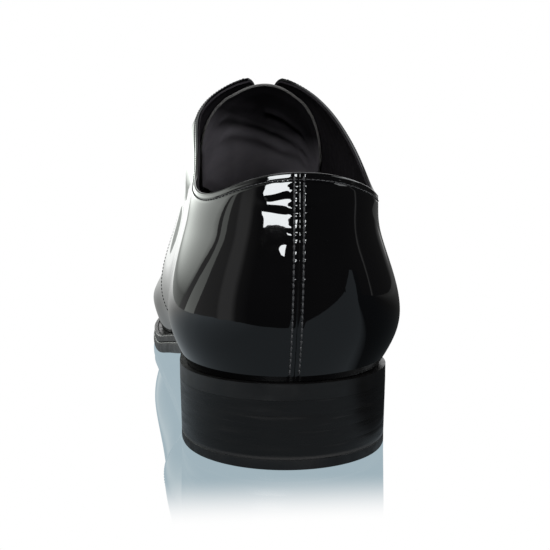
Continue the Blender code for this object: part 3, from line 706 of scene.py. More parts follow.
thread = leather("black_thread", THREAD_COLOUR, None, THREAD_RELIEF, Roughness=0.5, Specular_IOR_Level=0.35)
stitches = stitch_tree()
for side, name in zip(SIDES, ("lateral", "medial")):
    outer, normal, edges = quarters[side]
    by_height = [np.swapaxes(grid, 0, 1) for grid in (outer, normal)]
    seam_side = [row_at(grid, edges["back"].T, SEAM_STITCH) for grid in by_height]
    up_seam = lengths_along(seam_side[0][None], 1)[0]
    on_seam = (up_seam > SEAM_STITCH_ENDS[0]) & (up_seam < up_seam[-1] - SEAM_STITCH_ENDS[1])
    seam_row = [grid[on_seam] for grid in seam_side]
    collar = [row_at(grid, edges["top"], STITCH_INSET) for grid in (outer, normal)]
    on_collar = (edges["front"][:, -1] > STITCH_INSET) & (edges["back"][:, -1] > COLLAR_STITCH_START)
    collar_row = [grid[on_collar] for grid in collar]
    facing = [row_at(grid, edges["front"].T, STITCH_INSET) for grid in by_height]
    on_front = edges["top"][-1] > STITCH_INSET
    front_row = [grid[on_front] for grid in facing]
    seam_stitches = sew(f"seam_stitches_{name}", [seam_row], SEAM_STITCH_PITCH, SEAM_STITCH_LENGTH,
                        SEAM_THREAD_RADIUS)
    edge_stitches = sew(f"edge_stitches_{name}", [collar_row, front_row], STITCH_PITCH, STITCH_LENGTH,
                        EDGE_THREAD_RADIUS)
    for sewn_rows in (seam_stitches, edge_stitches):
        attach(sewn_rows, "root")

# Vamp
# One panel of the same patent leather over the toes and the instep. It is cut to the throat and slipped
# under the quarters' front edges, where the edge stitches hold it.
VAMP_LAP = 7.0             # how far it reaches under the quarters
VAMP_LAP_FADE = (0.83, 0.93)   # share of the way up where the lap runs out towards the throat
VAMP_COLUMNS = 104
VAMP_ROWS = 74             # from the seam to the crown, on each side
VAMP_SINK = 0.05           # how far its lap lies under the quarters' lower face


def both_sides(rows):
    """Places around the last, from -1 at the lateral seam to 1 at the medial one."""
    half = np.linspace(0.0, 1.0, rows)
    return np.concatenate([-half[:0:-1], half])


def throat_share(side):
    return edge_share(np.array([THROAT_STATION]), side)[0]


def lap_share(up):
    """How much of the lap there is, so far up the vamp."""
    return smooth_step((VAMP_LAP_FADE[1] - up) / (VAMP_LAP_FADE[1] - VAMP_LAP_FADE[0]))


def vamp_place(shares, ups):
    """Stations and places around the last for a grid of the vamp. ups run from -1, lateral, to 1, medial."""
    up = (1 - np.abs(ups)) / np.where(ups < 0, throat_share(-1), throat_share(1))
    swept = np.minimum(up, 1.0) ** QUARTER_SWEEP
    start = QUARTER_FOOT + (THROAT_STATION - QUARTER_FOOT) * swept - VAMP_LAP * lap_share(up)
    station = start + (LAST_LENGTH - start) * np.sin(shares[:, None] * math.pi / 2)
    return station, np.broadcast_to(ups[None, :], station.shape)


def close_vamp(sheets):
    """Brings the vamp's sheets down to the seam on both sides, and together at the tip of the toe."""
    for sheet in sheets:
        for row in (0, -1):
            sheet[:, row, 2] = seam_height(sheet[:, row, 1])
        sheet[-1] = sheet[-1, sheet.shape[1] // 2]


edge_shares = EDGE_STEPS / FRONT_SCALE
vamp_shares = np.concatenate([edge_shares[:-1], np.linspace(edge_shares[-1], 1.0, VAMP_COLUMNS)])
station, around = vamp_place(vamp_shares, both_sides(VAMP_ROWS))
base = last_point(station, around)
normal = last_normal(station, around)
drop = rolled(lengths_along(base, 0), EDGE_ROLL) * (LEATHER - VAMP_SINK) / LEATHER
outer = base - (VAMP_SINK + drop)[..., None] * normal
inner = base - LEATHER * normal
close_vamp((outer, inner))
vamp = leather_piece("vamp", outer, inner, [patent])
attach(vamp, "root")
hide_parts("upper")

# Lining
# Soft, matte, dark grey leather behind the patent leather, glued to it and trimmed just under the folded
# edge. A part for the quarters goes round the heel in one strip, and another part lines the vamp.
LINING = (0.95, 1.7)       # depths of its two faces
LINING_TRIM = 0.4          # how far below the folded edge it is trimmed
LINING_EDGE = 0.35         # radius of its trimmed edge
LINING_COLUMNS = 90
LINING_ROWS = 60
LINING_BUTT = 0.3          # between its two parts
FINE_STEPS = EDGE_STEPS[4::-1]   # the finest steps at an edge, outwards
SHARE_DIGITS = 6           # to which places along a grid are told apart
# Columns: half width, depth, then points as station and height
LINING_CREASES = (
    (4.0, 0.5, (44.0, 80.0), (82.0, 62.0)),
    (4.5, 0.5, (60.0, 92.0), (98.0, 74.0)),
    (4.0, 0.35, (30.0, 70.0), (60.0, 48.0)),
)
LINING_CREASE_FADE = 8.0   # length over which they grow, from the edge downwards
LINING_WEAR = ((45.0, 4.0), (0.35, 0.7))
LINING_GLOSS = ((300.0,), (0.3, 0.7), (0.55, 0.75))
LINING_RELIEF = (((70.0, 2.0), 0.35), ((1900.0, 3.0), 0.05))
LINING_SHINE = 0.04
LINING_COLOURS = ((0.011, 0.0098, 0.011), (0.018, 0.016, 0.018))


def lining_leather(name, wear, colours):
    """Unlacquered leather: fine pores, soft mottling from wear, no shine."""
    return leather(name, (*wear, *colours), LINING_GLOSS, LINING_RELIEF, Specular_IOR_Level=LINING_SHINE)


lining = lining_leather("lining_leather", LINING_WEAR, LINING_COLOURS)
shares = np.linspace(0.0, 1.0 - LINING_BUTT / FRONT_SCALE, LINING_COLUMNS)
ups = np.concatenate([np.linspace(0.0, 1.0, LINING_ROWS)[:-1], 1 - FINE_STEPS / TOP_SCALE])
ups = np.unique(np.round(ups, SHARE_DIGITS)) * (1 - LINING_TRIM / TOP_SCALE)
strips = []
for side in SIDES:
    station, around = quarter_place(shares, ups, side)
    base = last_point(station, around)
    normal = last_normal(station, around)
    top = lengths_along(base, 1)
    top = top[:, -1:] - top
    creases = creases_at(LINING_CREASES, base[..., 1], base[..., 2]) * smooth_step(top / LINING_CREASE_FADE)
    strips.append((base, normal, top, creases))
base, normal, top, creases = [np.concatenate([lateral[:0:-1], medial]) for lateral, medial in zip(*strips)]
outer = base - LINING[0] * normal
inner = base - (LINING[1] + creases - rolled(top, LINING_EDGE))[..., None] * normal
for sheet in (outer, inner):
    sheet[:, 0, 2] = seam_height(sheet[:, 0, 1])
keep = all_cells(base)
for side in SIDES:
    punch_eyelets(side, (inner, outer), keep)
quarter_lining = leather_piece("quarter_lining", outer, inner, [lining], keep)
shares = np.linspace(0.0, 1.0, VAMP_COLUMNS // 2)
ups = both_sides(VAMP_ROWS // 2)
station, around = vamp_place(shares, ups)
lap = lap_share((1 - np.abs(ups[None])) / throat_share(1))
station = station + (VAMP_LAP + LINING_BUTT) * (1 - np.sin(shares[:, None] * math.pi / 2)) * lap
base = last_point(station, around)
normal = last_normal(station, around)
outer = base - LINING[0] * normal
inner = base - LINING[1] * normal
close_vamp((outer, inner))
vamp_lining = leather_piece("vamp_lining", outer, inner, [lining])
for piece in (quarter_lining, vamp_lining):
    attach(piece, "root")
    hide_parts("upper")

# Tongue
# Patent leather outside and lining leather inside, sewn under the vamp at the throat. It is rounded at its
# top, its cut edge shows as a lighter line, and the foot has pressed soft folds across it.
WALL = 1.6
TONGUE_THICKNESS = 1.8
TONGUE_CLEARANCE = 0.9
TONGUE_WIDTH = {-1: (28.5, 16.0), 1: (26.0, 16.0)}   # half widths at the top and under the vamp, by side
TONGUE_SPREAD = 0.6        # share of the way up where it is at its widest
TONGUE_TOP = 113.5
TONGUE_ROUND = 12.0
TONGUE_SQUARE = 9          # how square its rounded top is
TONGUE_LEAN = 3.5          # how far its sides reach further back than its middle
TONGUE_NEAR = (13.0, 18.0, 0.55)   # between these places beside the crown it nears the lining by so much
TONGUE_SKIVE = (7.0, 0.7)  # how far in from its edge it is thinned, and by how much
TONGUE_TUCK = 10.0
TONGUE_COLUMNS = 96
TONGUE_ROWS = 110
TONGUE_EDGE = 0.8          # radius of its cut edge
CUT_EDGE_SHARE = 0.8       # of that radius looks raw
FOLD_LIMIT = 0.8           # deepest groove in its lining
FOLD_MARGIN = (1.0, 6.0)   # the folds grow from so far inside its edge, over such a length
FOLD_END = (6.0, 14.0)     # and from so far above the throat, over such a length
# Columns: half width, height towards the foot, then points as place across and station
TONGUE_FOLDS = (
    (2.2, 1.2, (-18.5, 120.5), (-11.0, 128.3), (-4.6, 132.8), (1.3, 135.4), (5.7, 136.4), (12.7, 134.9),
     (17.6, 132.8), (20.8, 130.1)),
    (1.4, -0.9, (3.7, 131.5), (8.0, 132.0), (13.8, 131.2), (19.2, 128.7)),
    (1.2, 0.8, (2.2, 128.9), (6.4, 128.9), (11.3, 128.2), (16.3, 127.4), (20.2, 125.1)),
    (2.4, 0.9, (-16.7, 130.9), (-5.7, 138.6), (4.7, 142.5), (12.1, 142.3), (20.1, 135.7)),
    (2.0, 0.5, (-22.0, 111.0), (-13.6, 120.8), (-6.4, 126.4)),
)
TONGUE_WEAR = ((60.0, 4.0), (0.3, 0.7))
# Painted light and shade on the tongue's lining: its upper part is painted darker than the quarters' lining,
# as in shade, and its lower part paler, as lit; both are mottled
TONGUE_PAINTED_SHADE = ((0.007, 0.0065, 0.0072), (0.012, 0.011, 0.0125))
TONGUE_PAINTED_LIT = ((0.080, 0.073, 0.081), (0.115, 0.106, 0.116))
PAINTED_LIGHT_SLANT = (0.3, 0.0, 1.0)      # painted light: its lining is painted paler below a slanting line, where the lower tongue stands lit
PAINTED_LIGHT_HEIGHTS = (0.108, 0.097)   # and gets paler between these heights in metres
CUT_EDGE_COLOUR = ((700.0, 3.0), None, (0.055, 0.053, 0.052), (0.12, 0.115, 0.11))
CUT_EDGE_RELIEF = (((2500.0,), 0.06),)
OUTER_SLOT = 0
INNER_SLOT = 1
EDGE_SLOT = 2


def tongue_place(along, across):
    """Stations and places around the last on the tongue, along from 0 under the vamp to 1 at the top."""
    corner = TONGUE_ROUND * (1 - np.sqrt(1 - np.abs(across) ** TONGUE_SQUARE))
    top = TONGUE_TOP + corner - TONGUE_LEAN * across**2
    base = THROAT_STATION + TONGUE_TUCK
    station = base + (top - base) * along
    places = {}
    for side in SIDES:
        wide, narrow = TONGUE_WIDTH[side]
        half_width = narrow + (wide - narrow) * np.minimum(along / TONGUE_SPREAD, 1.0)
        places[side] = side * (1 - share_from_crown(station, half_width * np.abs(across), side))
    return station, np.where(across < 0, places[-1], places[1])


def vector_on(tree, operation, *values):
    return in_order(tree, "ShaderNodeVectorMath", *values, operation=operation)


def slant_on(tree, direction):
    """How far a place of the piece lies in a direction."""
    return vector_on(tree, "DOT_PRODUCT", own_place(tree), direction)["Value"]


def lay_over(finish, share, colour):
    """Lays another colour over a finish's own one."""
    own = finish.node_tree.nodes["Principled BSDF"].inputs["Base Color"].links[0].from_socket
    drive(finish, mixed_colour(finish, share, own, colour), "Base Color")


def tongue_lining_leather():
    """The lining leather of the tongue: painted dark as in shade above, and painted a paler grey below a
    slanting line, where the lower tongue stands lit.
    """
    finish = lining_leather("tongue_lining", TONGUE_WEAR, TONGUE_PAINTED_SHADE)
    noise, part = TONGUE_WEAR
    worn = ranged(finish, noise_on(finish, *noise), *part, 0.0, 1.0)
    # Painted light: below the slanting line the lining is painted paler, as lit, and above it the darker
    # painted shade stays
    painted_lit = ranged(finish, slant_on(finish.node_tree, PAINTED_LIGHT_SLANT), *PAINTED_LIGHT_HEIGHTS, 0.0, 1.0)
    lay_over(finish, painted_lit, mixed_colour(finish, worn, *TONGUE_PAINTED_LIT))
    return finish


def tongue_slots(count, outer_count):
    """Patent leather outside, lining inside, and raw leather at the edge."""
    slots = np.full(count, EDGE_SLOT)
    slots[:outer_count] = np.where(near_rim, EDGE_SLOT, OUTER_SLOT)
    slots[outer_count : 2 * outer_count] = np.where(near_rim, EDGE_SLOT, INNER_SLOT)
    return slots


# The raw edge of leather is paler than its faces, fibrous and matte
cut_edge = leather("cut_edge_leather", CUT_EDGE_COLOUR, None, CUT_EDGE_RELIEF, Roughness=0.6,
                   Specular_IOR_Level=0.4)
along = np.linspace(0.0, 1.0, TONGUE_ROWS)
along = np.concatenate([along[:-1], 1 - FINE_STEPS / (THROAT_STATION - TONGUE_TOP)])
along = np.unique(np.round(along, SHARE_DIGITS))
across = np.sin(np.linspace(-1.0, 1.0, TONGUE_COLUMNS) * math.pi / 2)
station, around = tongue_place(*np.meshgrid(along, across, indexing="ij"))
base = last_point(station, around)
normal = last_normal(station, around)
sideways = lengths_along(base, 1)
upwards = lengths_along(base, 0)
rim = np.minimum(np.minimum(sideways, sideways[:, -1:] - sideways), upwards[-1:] - upwards)
drop = rolled(rim, TONGUE_EDGE)
folds = creases_at(TONGUE_FOLDS, base[..., 0], base[..., 1])
folds = folds * smooth_step((rim - FOLD_MARGIN[0]) / FOLD_MARGIN[1])
folds = folds * smooth_step((THROAT_STATION - FOLD_END[0] - base[..., 1]) / FOLD_END[1])
beside = np.abs(base[..., 0] - last_point(station, 0.0)[..., 0])
nearer = TONGUE_NEAR[2] * smooth_step((beside - TONGUE_NEAR[0]) / (TONGUE_NEAR[1] - TONGUE_NEAR[0]))
skived = TONGUE_SKIVE[1] * smooth_step(1 - rim / TONGUE_SKIVE[0])
depth = WALL + TONGUE_CLEARANCE - nearer
outer = base - (depth + drop)[..., None] * normal
inner_depth = depth + TONGUE_THICKNESS - skived - drop + np.maximum(folds, -FOLD_LIMIT)
inner = base - inner_depth[..., None] * normal
near_rim = (rim[:-1, :-1] < TONGUE_EDGE * CUT_EDGE_SHARE).ravel()
tongue = leather_piece("tongue_leather", outer, inner, [patent, tongue_lining_leather(), cut_edge],
                       face_slots=tongue_slots)
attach(tongue, "root")
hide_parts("tongue")

# Insole
# A leather board that the upper is lasted to, covered by a sock of the lining leather and pressed a little
# hollow under the heel and the ball of the foot.
INSOLE_THICKNESS = 3.0
INSOLE_INSET = 2.6         # of its edge from the seam
INSOLE_EDGE = 0.5          # radius of its edge
# Columns: depth and how far in, as shares of that radius
INSOLE_EDGE_ROWS = ((0.0, 1.0), (0.0, 0.6), (0.3, 0.15), (1.0, 0.0))
INSOLE_HOLLOWS = ((36.0, 26.0, 0.5), (206.0, 34.0, 0.4))   # station, half length, depth
HOLLOW_ABOVE = 1.0         # what lies deeper than that stays flat
OUTLINE_STEPS = 180        # points along each side of an outline
PLATE_SPAN = 20            # cells across a plate
PLATE_SHARP = 40           # degrees from which the edges of the sole's pieces stay sharp
SOCK_COLOURS = ((0.060, 0.054, 0.060), (0.085, 0.078, 0.085))


def station_at(turn):
    """Station at a turn that is even at the heel and at the toe."""
    return LAST_LENGTH * (1 - np.cos(turn)) / 2


def seam_ring(inset, first=0.0, last=LAST_LENGTH, steps=OUTLINE_STEPS):
    """Lateral and medial line of the seam where upper and sole meet, from behind, moved in by an inset."""
    start = math.acos(1 - 2 * first / LAST_LENGTH)
    end = math.acos(1 - 2 * last / LAST_LENGTH)
    turn = np.linspace(start, end, steps + 1)
    station = station_at(turn)
    turn_step = 0.004
    outline = []
    for side in SIDES:
        here = last_point(station, side)[:, :2]
        nearby = []
        for moved in (turn - turn_step, turn + turn_step):
            over_the_end = (moved < 0) | (moved > math.pi)
            nearby.append(last_point(station_at(moved), np.where(over_the_end, -side, side))[:, :2])
        run = nearby[1] - nearby[0]
        run = run / np.linalg.norm(run, axis=-1, keepdims=True)
        outward = side * np.stack([run[:, 1], -run[:, 0]], -1)
        depth = inset(station) if callable(inset) else np.full(len(station), inset)
        outline.append(here - outward * depth[:, None])
    return outline


def wall_faces(rings, count):
    """Faces between closed rings of so many points, stacked from top to bottom."""
    faces = []
    for k in range(rings - 1):
        for n in range(count):
            m = (n + 1) % count
            faces.append([k * count + n, k * count + m, (k + 1) * count + m, (k + 1) * count + n])
    return faces


def plate(name, levels, materials, face_slots=None):
    """A plate from outlines stacked from top to underside. Each level is an outline and its height."""
    rings = []
    for (lateral, medial), height in levels:
        ring = np.concatenate([lateral, medial[::-1]])
        rings.append(np.column_stack([ring, height(ring[:, 0], ring[:, 1])]))
    count = len(rings[0])
    steps = count // 2
    points = list(rings)
    faces = wall_faces(len(rings), count)
    side_count = len(faces)
    first = len(rings) * count
    shares = np.linspace(0.0, 1.0, PLATE_SPAN + 1)[:, None, None]
    for k, turned in ((0, False), (len(rings) - 1, True)):
        ring = rings[k]
        spread = ring[None, :steps] * (1 - shares) + ring[None, : steps - 1 : -1] * shares
        spread[..., 2] = levels[k][1](spread[..., 0], spread[..., 1])
        points.append(spread.reshape(-1, 3))
        number = first + np.arange(spread.shape[0] * steps).reshape(-1, steps)
        first += number.size
        cells = np.stack([number[:-1, :-1], number[:-1, 1:], number[1:, 1:], number[1:, :-1]], -1)
        cells = cells.reshape(-1, 4)
        faces += (cells if turned else cells[:, ::-1]).tolist()
    slots = None if face_slots is None else face_slots(len(faces), side_count)
    return piece_from(name, np.concatenate(points), faces, materials, slots, PLATE_SHARP)


def insole_height(down):
    def height(x, y):
        pressed = sum(deep * furrow(y, place, half_length) for place, half_length, deep in INSOLE_HOLLOWS)
        return seam_height(y) + INSOLE_THICKNESS - down - (pressed if down < HOLLOW_ABOVE else 0.0)

    return height


insole_rows = [(down * INSOLE_EDGE, inset * INSOLE_EDGE) for down, inset in INSOLE_EDGE_ROWS]
insole_rows += [(INSOLE_THICKNESS - INSOLE_EDGE, 0.0), (INSOLE_THICKNESS, INSOLE_EDGE)]
levels = [(seam_ring(INSOLE_INSET + inset), insole_height(down)) for down, inset in insole_rows]
sock = plate("insole_sock", levels, [lining_leather("sock_leather", LINING_WEAR, SOCK_COLOURS)])
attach(sock, "root")
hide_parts("insole")

# Welt
# A strip of sole leather round the forefoot, sewn to the upper and the insole, with its edge inked black.
# The sole is stitched to it by a row of stitches along its top.
WELT_INSET = 5.0
WELT_EDGE = 0.5            # radius of its edge
WELT_MARGIN = 0.4          # how far its edge lies inside the sole's
WELT_TIP = 4.0             # length that its thin ends lack
WELT_THINNEST = 0.05
WELT_EDGE_THINNEST = 0.02
ROUND_STEPS = 5            # points along a rounded edge
WELT_STITCH_INSET = 1.9    # of its stitches from its edge
WELT_STITCH_PITCH = 3.0
WELT_STITCH_LENGTH = 2.5
WELT_THREAD_RADIUS = 0.3
WELT_STITCH_MARGIN = 2.6   # narrowest edge that shows the stitches
# Leather edge, burnished with black ink and wax: satin, with the leather's fibres faintly along it
INK_FIBRES = (60.0, 4.0, (1.0, 1.0, 14.0))
INK_COLOUR = (INK_FIBRES, None, (0.0012, 0.0011, 0.0011), (0.0034, 0.0031, 0.0030))
INK_GLOSS = ((180.0, 4.0), (0.35, 0.7), (0.28, 0.44))
INK_RELIEF = ((INK_FIBRES, 0.01), ((1500.0,), 0.01))


def sole_margin(station):
    return sole_row(station)[..., 1]


def inside_sole(inset):
    """An inset from the sole's edge, as one from the seam."""
    return lambda station: inset - sole_margin(station)


def welt_line(inset):
    """One line along the welt, from the lateral end round the toe to the medial one."""
    lateral, medial = seam_ring(inset, first=WELT_START + WELT_TIP)
    return np.concatenate([lateral, medial[-2::-1]])


ink = leather("black_edge_ink", INK_COLOUR, INK_GLOSS, INK_RELIEF, Specular_IOR_Level=0.5)
# Each row: inset, depth from the top, whether it is measured from the top
profile = [(WELT_INSET, 0.0, True)]
for turned in np.linspace(0.0, math.pi / 2, ROUND_STEPS):
    inset = WELT_MARGIN + WELT_EDGE * (1 - math.sin(turned))
    profile.append((inside_sole(inset), WELT_EDGE * (1 - math.cos(turned)), True))
profile += [(inside_sole(WELT_MARGIN), 0.0, False), (WELT_INSET, 0.0, False)]
lines = []
for inset, down, on_top in profile:
    line = welt_line(inset)
    low = sole_top(line[:, 1]) + GAP
    thick = np.maximum(seam_height(line[:, 1]) - sole_top(line[:, 1]) - 2 * GAP, WELT_THINNEST)
    height = low + np.maximum(thick - down, WELT_EDGE_THINNEST) if on_top else low
    lines.append(np.column_stack([line, height]))
lines = np.array(lines)
count = lines.shape[1]
faces = []
for k in range(len(lines)):
    m = (k + 1) % len(lines)
    faces += [[k * count + n, k * count + n + 1, m * count + n + 1, m * count + n] for n in range(count - 1)]
faces.append([k * count for k in range(len(lines))])
faces.append([k * count + count - 1 for k in reversed(range(len(lines)))])
welt = piece_from("welt_strip", lines.reshape(-1, 3), faces, [ink], sharp=PLATE_SHARP)
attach(welt, "root")
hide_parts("welt")

line = welt_line(inside_sole(WELT_MARGIN + WELT_STITCH_INSET))
line = line[sole_margin(line[:, 1]) > WELT_STITCH_MARGIN]
top = np.column_stack([line, seam_height(line[:, 1]) - GAP])
upright = np.tile([0.0, 0.0, 1.0], (len(top), 1))
welt_stitches = sew("welt_stitches", [(top, upright)], WELT_STITCH_PITCH, WELT_STITCH_LENGTH,
                    WELT_THREAD_RADIUS)
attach(welt_stitches, "root")

# Outsole
# Sole leather from toe to heel, stitched to the welt. Its edge is trimmed round and inked, and its underside
# is dyed black and a little scuffed where it walks.
# Columns: depth from the top, how far in
SOLE_EDGE = (
    (0.0, 2.2), (0.0, 0.75), (0.1, 0.45), (0.3, 0.2), (0.7, 0.04), (1.4, 0.0), (2.4, -0.05), (3.4, 0.0),
    (4.1, 0.16), (4.6, 0.42), (4.9, 0.75), (5.0, 1.1), (5.0, 2.6),
)
HEEL_INSET = 0.2           # how far the stack's top lies inside the sole's edge
SOLE_FACE_INSET = 1.1      # where the rounded edge ends and the flat faces begin
FLUSH_STATIONS = (72.0, 92.0)   # over the heel its edge is flush with the stack, and rounded from here on
# Black dye over leather, rubbed through to a dull brown grey in scuffs
SOLE_COLOUR = ((38.0, 6.0, (1.0, 0.35, 1.0)), (0.5, 0.72), (0.020, 0.018, 0.017), (0.075, 0.065, 0.056))
SOLE_GLOSS = ((90.0, 4.0), (0.35, 0.7), (0.42, 0.65))
SOLE_RELIEF = (((900.0, 4.0), 0.05), ((90.0, 5.0, (1.0, 0.3, 1.0)), 0.08))


def underside_slots(count, side_count):
    """The second material on the lower one of a plate's two faces."""
    slots = np.zeros(count)
    slots[side_count + (count - side_count) // 2 :] = 1
    return slots


def trimmed(inset):
    """How far in from the seam the sole's edge lies, flush over the heel except for its flat faces."""
    def depth(station):
        flush = 1 - smooth_step((station - FLUSH_STATIONS[0]) / (FLUSH_STATIONS[1] - FLUSH_STATIONS[0]))
        over_heel = HEEL_INSET + max(inset - SOLE_FACE_INSET, 0.0)
        return inset * (1 - flush) + over_heel * flush - sole_margin(station)

    return depth


def sole_height(down):
    return lambda x, y: np.maximum(sole_top(y) - down, 0.0)


underside = leather("sole_leather", SOLE_COLOUR, SOLE_GLOSS, SOLE_RELIEF, Specular_IOR_Level=0.4)
levels = [(seam_ring(trimmed(inset)), sole_height(down)) for down, inset in SOLE_EDGE]
outsole = plate("outsole_leather", levels, [ink, underside], underside_slots)
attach(outsole, "root")
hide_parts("outsole")

# Heel
# Leather lifts, glued and nailed in a stack under the sole, then trimmed, inked black and burnished. Wear
# has left fine scratches, and a paler line where the lowest lift meets the top piece.
HEEL_BREAST = 74.0
HEEL_BREAST_HOLLOW = 5.0
HEEL_TAPER = 0.6
HEEL_LIFTS = 4
LIFT_GROOVE = 0.012        # depth of the line between two lifts
LIFT_GROOVE_HALF = 0.12    # half its height
# Columns: height as a share of that half, depth as a share of the line's
LIFT_GROOVE_ROWS = ((2, 0.0), (1, 1.0), (-1, 1.0), (-2, 0.0))
GLUE_LINE = 0.04           # between the glued layers
HEEL_EDGE = 0.16           # radius of the stack's lower edge
EDGE_MIDDLE = 0.3          # share of an edge's radius at the middle of its rounding
FACE_MARGIN = 3.0          # width of the flat rim round its faces
TOP_PIECE_THICKNESS = 3.2
HEEL_STEPS = 110
BREAST_STEPS = 40
# Burnished stack: satin black with a brown tint, fine level scratches, a pale lowest edge
HEEL_COLOUR = ((30.0, 5.0), None, (0.0012, 0.0011, 0.0011), (0.0034, 0.0032, 0.0032))
HEEL_GLOSS = ((70.0, 5.0, (1.0, 1.0, 9.0)), (0.35, 0.7), (0.22, 0.42))
SCRATCHES = (60.0, 8.0, (1.0, 1.0, 16.0))
SCRATCH_PART = (0.58, 0.76)
SCRATCH_COLOUR = (0.014, 0.013, 0.0125)
SCRATCH_SHARE = 0.5
HEEL_RELIEF = ((SCRATCHES, 0.03), ((120.0, 3.0), 0.03))
LOW_EDGE = (1.2, 0.6)      # from this height over the top piece down to that it gets paler
LOW_EDGE_COLOUR = (0.024, 0.022, 0.021)
LOW_EDGE_SHARE = 0.8


def heel_leather():
    finish = leather("heel_leather", HEEL_COLOUR, HEEL_GLOSS, HEEL_RELIEF, Specular_IOR_Level=0.36)
    tree = finish.node_tree
    scratched = ranged(finish, noise_on(finish, *SCRATCHES), *SCRATCH_PART, 0.0, SCRATCH_SHARE)
    lay_over(finish, scratched, SCRATCH_COLOUR)
    height = node(tree, "ShaderNodeSeparateXYZ", Vector=own_place(tree)).outputs["Z"]
    pale_from, pale_to = [(TOP_PIECE_THICKNESS + over) * MM for over in LOW_EDGE]
    lay_over(finish, ranged(finish, height, pale_from, pale_to, 0.0, LOW_EDGE_SHARE), LOW_EDGE_COLOUR)
    return finish


def heel_ring(inset):
    """The heel's outline, round behind and hollow at its front face."""
    lateral, medial = seam_ring(inside_sole(inset), last=HEEL_BREAST, steps=HEEL_STEPS)
    share = np.arange(1, BREAST_STEPS)[:, None] / BREAST_STEPS
    front = lateral[-1] * (1 - share) + medial[-1] * share
    front[:, 1] -= HEEL_BREAST_HOLLOW * np.sin(share[:, 0] * math.pi)
    return np.concatenate([lateral, front, medial[:0:-1]])


def heel_slab(name, rows, finish):
    """A slab of the heel from rings stacked from top to bottom. Each row is an inset and a height."""
    rings = []
    for inset, height in rows:
        ring = heel_ring(inset)
        rings.append(np.column_stack([ring, height(ring[:, 1])]))
    count = len(rings[0])
    faces = wall_faces(len(rings), count)
    faces.append(list(range(count))[::-1])
    faces.append([(len(rings) - 1) * count + n for n in range(count)])
    return piece_from(name, np.concatenate(rings), faces, [finish], sharp=PLATE_SHARP)


def heel_level(share, shift=0.0):
    """Height of a level of the stack, from 0 under the sole to 1 on the top piece."""
    floor = TOP_PIECE_THICKNESS + GLUE_LINE
    return lambda y: (sole_row(y)[..., 0] - GLUE_LINE) * (1 - share) + floor * share + shift


heel_rows = [(HEEL_INSET + FACE_MARGIN, heel_level(0.0)), (HEEL_INSET, heel_level(0.0))]
for lift in range(1, HEEL_LIFTS):
    share = lift / HEEL_LIFTS
    inset = HEEL_INSET + (HEEL_TAPER - HEEL_INSET) * share
    for high, deep in LIFT_GROOVE_ROWS:
        heel_rows.append((inset + deep * LIFT_GROOVE, heel_level(share, high * LIFT_GROOVE_HALF)))
for inset, lift in ((0.0, HEEL_EDGE), (HEEL_EDGE * EDGE_MIDDLE, HEEL_EDGE * EDGE_MIDDLE), (HEEL_EDGE, 0.0),
                    (FACE_MARGIN, 0.0)):
    heel_rows.append((HEEL_TAPER + inset, heel_level(1.0, lift)))
heel = heel_slab("heel_stack", heel_rows, heel_leather())
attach(heel, "root")
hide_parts("heel_block")

# Top piece
# A lift of black rubber that takes the wear of the floor. It is glued and pinned under the heel's stack and
# trimmed flush with it.
TOP_PIECE_EDGE = 0.45      # radius of its lower edge
RUBBER_COLOUR = ((55.0, 5.0), (0.45, 0.75), (0.003, 0.003, 0.0033), (0.009, 0.0085, 0.0085))
RUBBER_GLOSS = ((240.0, 3.0), (0.35, 0.7), (0.45, 0.7))
RUBBER_RELIEF = (((2200.0, 2.0), 0.04),)


def rubber_level(height):
    return lambda y: np.full(len(y), height)


rubber = leather("black_rubber", RUBBER_COLOUR, RUBBER_GLOSS, RUBBER_RELIEF, Specular_IOR_Level=0.4)
rubber_rows = []
for inset, height in ((FACE_MARGIN, TOP_PIECE_THICKNESS), (HEEL_EDGE, TOP_PIECE_THICKNESS),
                      (0.0, TOP_PIECE_THICKNESS - HEEL_EDGE), (0.0, TOP_PIECE_EDGE),
                      (TOP_PIECE_EDGE * EDGE_MIDDLE, TOP_PIECE_EDGE * EDGE_MIDDLE), (TOP_PIECE_EDGE, 0.0),
                      (FACE_MARGIN, 0.0)):
    rubber_rows.append((HEEL_TAPER + inset, rubber_level(height)))
top_piece = heel_slab("top_piece_rubber", rubber_rows, rubber)
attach(top_piece, "root")
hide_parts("top_piece")

# Lace
# One round, waxed cotton lace. It crosses the lacing gap in five straight bars, goes down through the
# eyelets and runs on, pressed flat, between facings and tongue. Its ends are tucked in at the top eyelets.
LACE_RADIUS = 1.15
LACE_BEND = 2.0            # radius of its turn into an eyelet
LACE_DIP = 0.6             # how far that turn goes down
LACE_STRAIGHT = (0.25, 0.75)   # shares of a bar between which it lies level
LACE_UNDER = 2.1           # depth of its hidden runs
LACE_FLAT = (0.3, 1.6)     # half thickness and half width where it is pressed flat
LACE_STEP = 0.4
LACE_SIDES = 14
LACE_RUN_STEPS = 9         # points of a hidden run, with those at its eyelets
LACE_BOW = 3.0             # how far a long hidden run swings aside of the eyelet that it passes
# Columns: a bar's eyelets, the side where it starts, the eyelet that its hidden run goes to, and its bow
LACE_ROUTE = (
    (0, 1, 2, 1.0),
    (2, -1, 4, 1.0),
    (4, 1, 3, 0.0),
    (3, -1, 1, -1.0),
    (1, 1, 0, 0.0),
)
BRAID_WIDTH = 0.5          # of one side of the lace in its UV map
BRAID_SCALE = 1.4
BRAID_LEAN = math.pi / 4
BRAID_HEIGHT = 0.12
LACE_COLOURS = ((0.006, 0.006, 0.006), (0.024, 0.023, 0.024))


def facing_offset(station):
    """How far the facing's outer face stands off the last at its edge."""
    grown = 1 + (math.hypot(1, 1 / COLUMN_BEND) - 1) * station / THROAT_STATION
    return quarter_raise(COLUMN_BEND * math.sqrt(grown * grown - 1))


